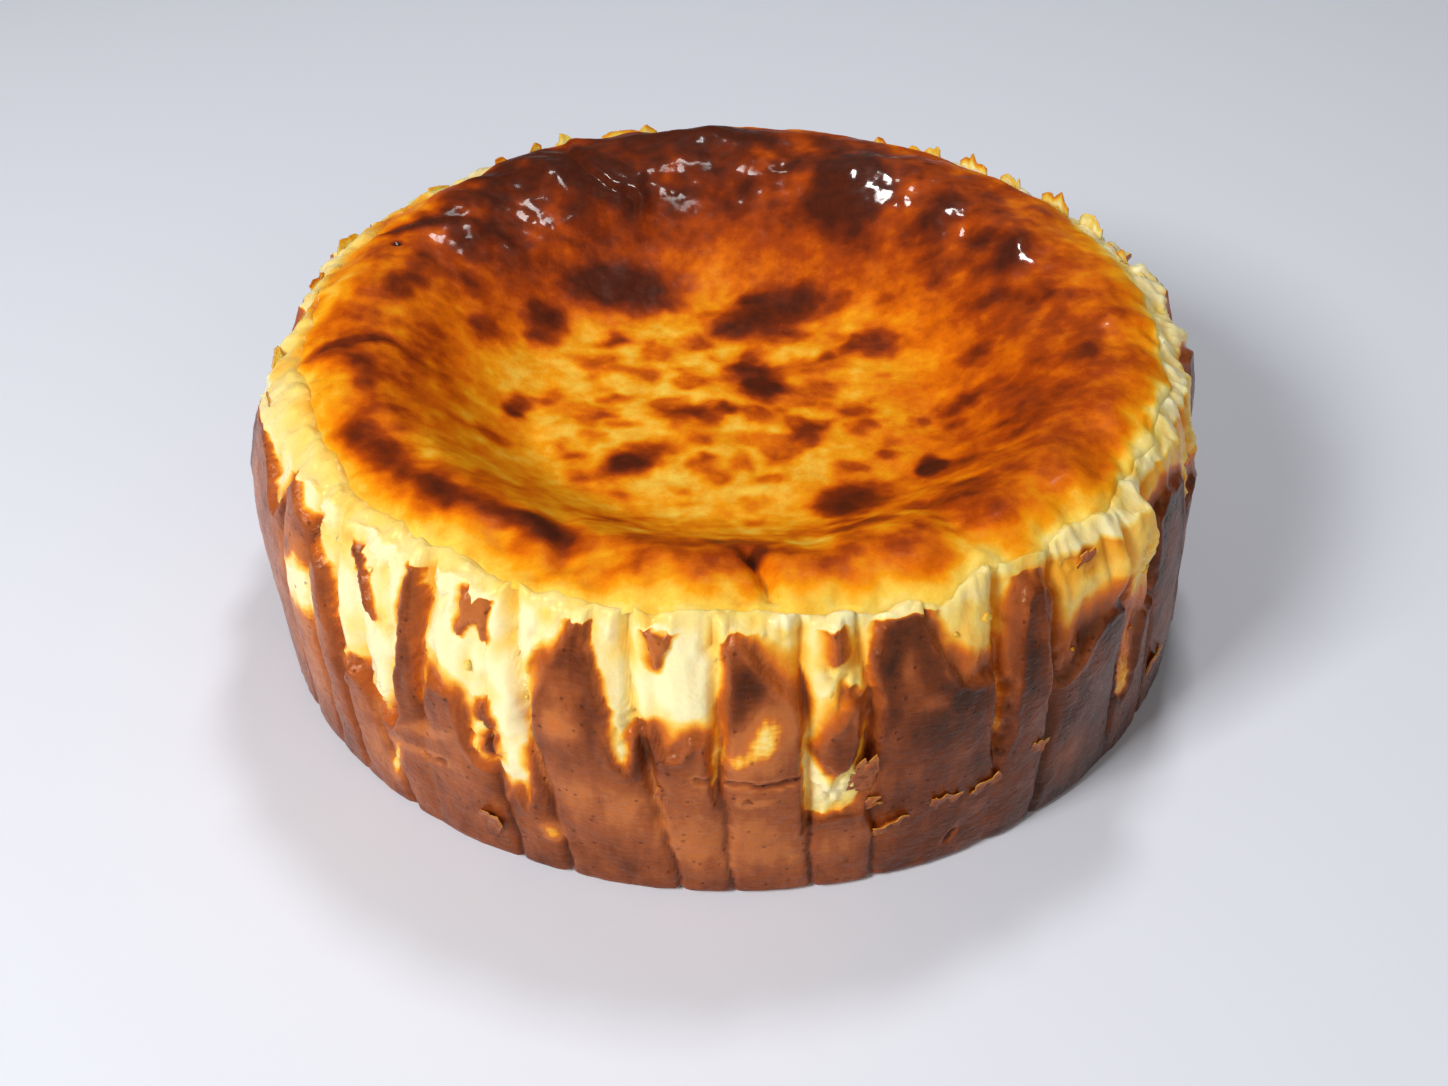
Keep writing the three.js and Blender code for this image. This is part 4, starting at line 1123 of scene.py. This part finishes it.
# Crumbs: lumps of soft cheese about a millimetre across that broke off as the paper was peeled away.
# They stuck to the torn wall where they fell, and none lies on the skin.
CRUMB_COUNT = 90
CRUMB_SEED = 21
CRUMB_SIZE = (0.3, 0.8)
CRUMB_HEIGHTS = (18, 54)
CRUMB_CLEAR = 1.5
CRUMB_LUMPS = 0.8
CRUMB_TONE = 0.25
crumb_rng = np.random.default_rng(CRUMB_SEED)
crumbs = marked_shape()
angles = crumb_rng.uniform(-180, 180, CRUMB_COUNT)
heights = crumb_rng.uniform(*CRUMB_HEIGHTS, CRUMB_COUNT)
sizes = crumb_rng.uniform(*CRUMB_SIZE, CRUMB_COUNT)
crumb_radii, crumb_reach, _, crumb_tone = wall_surface(angles, heights)
for angle, height, size, radius, reach, tone in zip(
        angles, heights, sizes, crumb_radii, crumb_reach, crumb_tone):
    if reach > -CRUMB_CLEAR:
        continue
    spot = round_place(np.array([angle]), radius + 0.1 * size, height)[0]
    ball = bmesh.ops.create_icosphere(crumbs, subdivisions=2, radius=size, matrix=Matrix.Translation(spot))
    places = points_of(ball["verts"])
    for vert, point, push in zip(ball["verts"], places, lumpy(places, size, 2)):
        vert.co = (spot + (point - spot) * (1 + CRUMB_LUMPS * push)).tolist()
        vert[crumbs.verts.layers.float["reach"]] = -WELL_IN
        vert[crumbs.verts.layers.float["tone"]] = tone + CRUMB_TONE + 0.3 * push
bmesh.ops.recalc_face_normals(crumbs, faces=crumbs.faces)
finish_piece("crumbs", crumbs, torn_skin)

# The studio: a plain pale floor, a soft light from the left, a fill from the front and a small window
# above the back, which makes the gloss on the far slope. Its sizes are in metres.
FLOOR_SIZE = 4
FLOOR_COLOUR = (232, 239, 255)
LIGHT_AIM = (0, 0, 0.04)
# Name, place, side, power and colour of each light.
LIGHTS = [
    ("key_left", (-0.62, -0.58, 0.68), 0.3, 9.4, (1, 0.96, 0.9)),
    ("fill_front", (0.55, -0.95, 0.45), 0.9, 3, (1, 0.93, 0.82)),
    ("window_above", (0.1, 0.42, 0.95), 0.17, 3.2, (1, 0.98, 0.95)),
]
ROOM_COLOUR = (1, 0.95, 0.88, 1)
ROOM_STRENGTH = 0.09
floor_shape = bmesh.new()
bmesh.ops.create_grid(floor_shape, x_segments=1, y_segments=1, size=FLOOR_SIZE / 2)
floor_mesh = bpy.data.meshes.new("floor")
floor_shape.to_mesh(floor_mesh)
floor_shape.free()
floor = placed("floor", floor_mesh)
pale_floor, shader, _ = new_finish("pale_floor")
shader.inputs["Base Color"].default_value = (*screen_colour(FLOOR_COLOUR), 1)
shader.inputs["Roughness"].default_value = 0.7
floor_mesh.materials.append(pale_floor)
for name, spot, side, power, colour in LIGHTS:
    lamp = bpy.data.lights.new(name, "AREA")
    lamp.shape = "SQUARE"
    lamp.size = side
    lamp.energy = power
    lamp.color = colour
    holder = placed(name, lamp)
    aim = (Vector(spot) - Vector(LIGHT_AIM)).to_track_quat("Z", "Y")
    holder.matrix_world = Matrix.Translation(spot) @ aim.to_matrix().to_4x4()
room = bpy.data.worlds.new("studio")
room.use_nodes = True
room.node_tree.nodes["Background"].inputs["Color"].default_value = ROOM_COLOUR
room.node_tree.nodes["Background"].inputs["Strength"].default_value = ROOM_STRENGTH
bpy.context.scene.world = room

# The camera stands where the photo was taken from. Its place and sensor are in millimetres, and its
# focal length is in pixels of the photo.
PHOTO_WIDTH = 1448
FOCAL_PIXELS = 1600
SENSOR = 36
CAMERA_PLACE = (-1.1, -273.8, 224.6)
CAMERA_PITCH = 39.02
lens = bpy.data.cameras.new("camera")
lens.sensor_fit = "HORIZONTAL"
lens.sensor_width = SENSOR
lens.lens = SENSOR * FOCAL_PIXELS / PHOTO_WIDTH
lens.clip_start = 0.01
camera = placed("camera", lens)
camera.location = [part * MM for part in CAMERA_PLACE]
camera.rotation_euler = (math.radians(90 - CAMERA_PITCH), 0, 0)
bpy.context.scene.camera = camera
bpy.context.scene.view_settings.view_transform = "Standard"
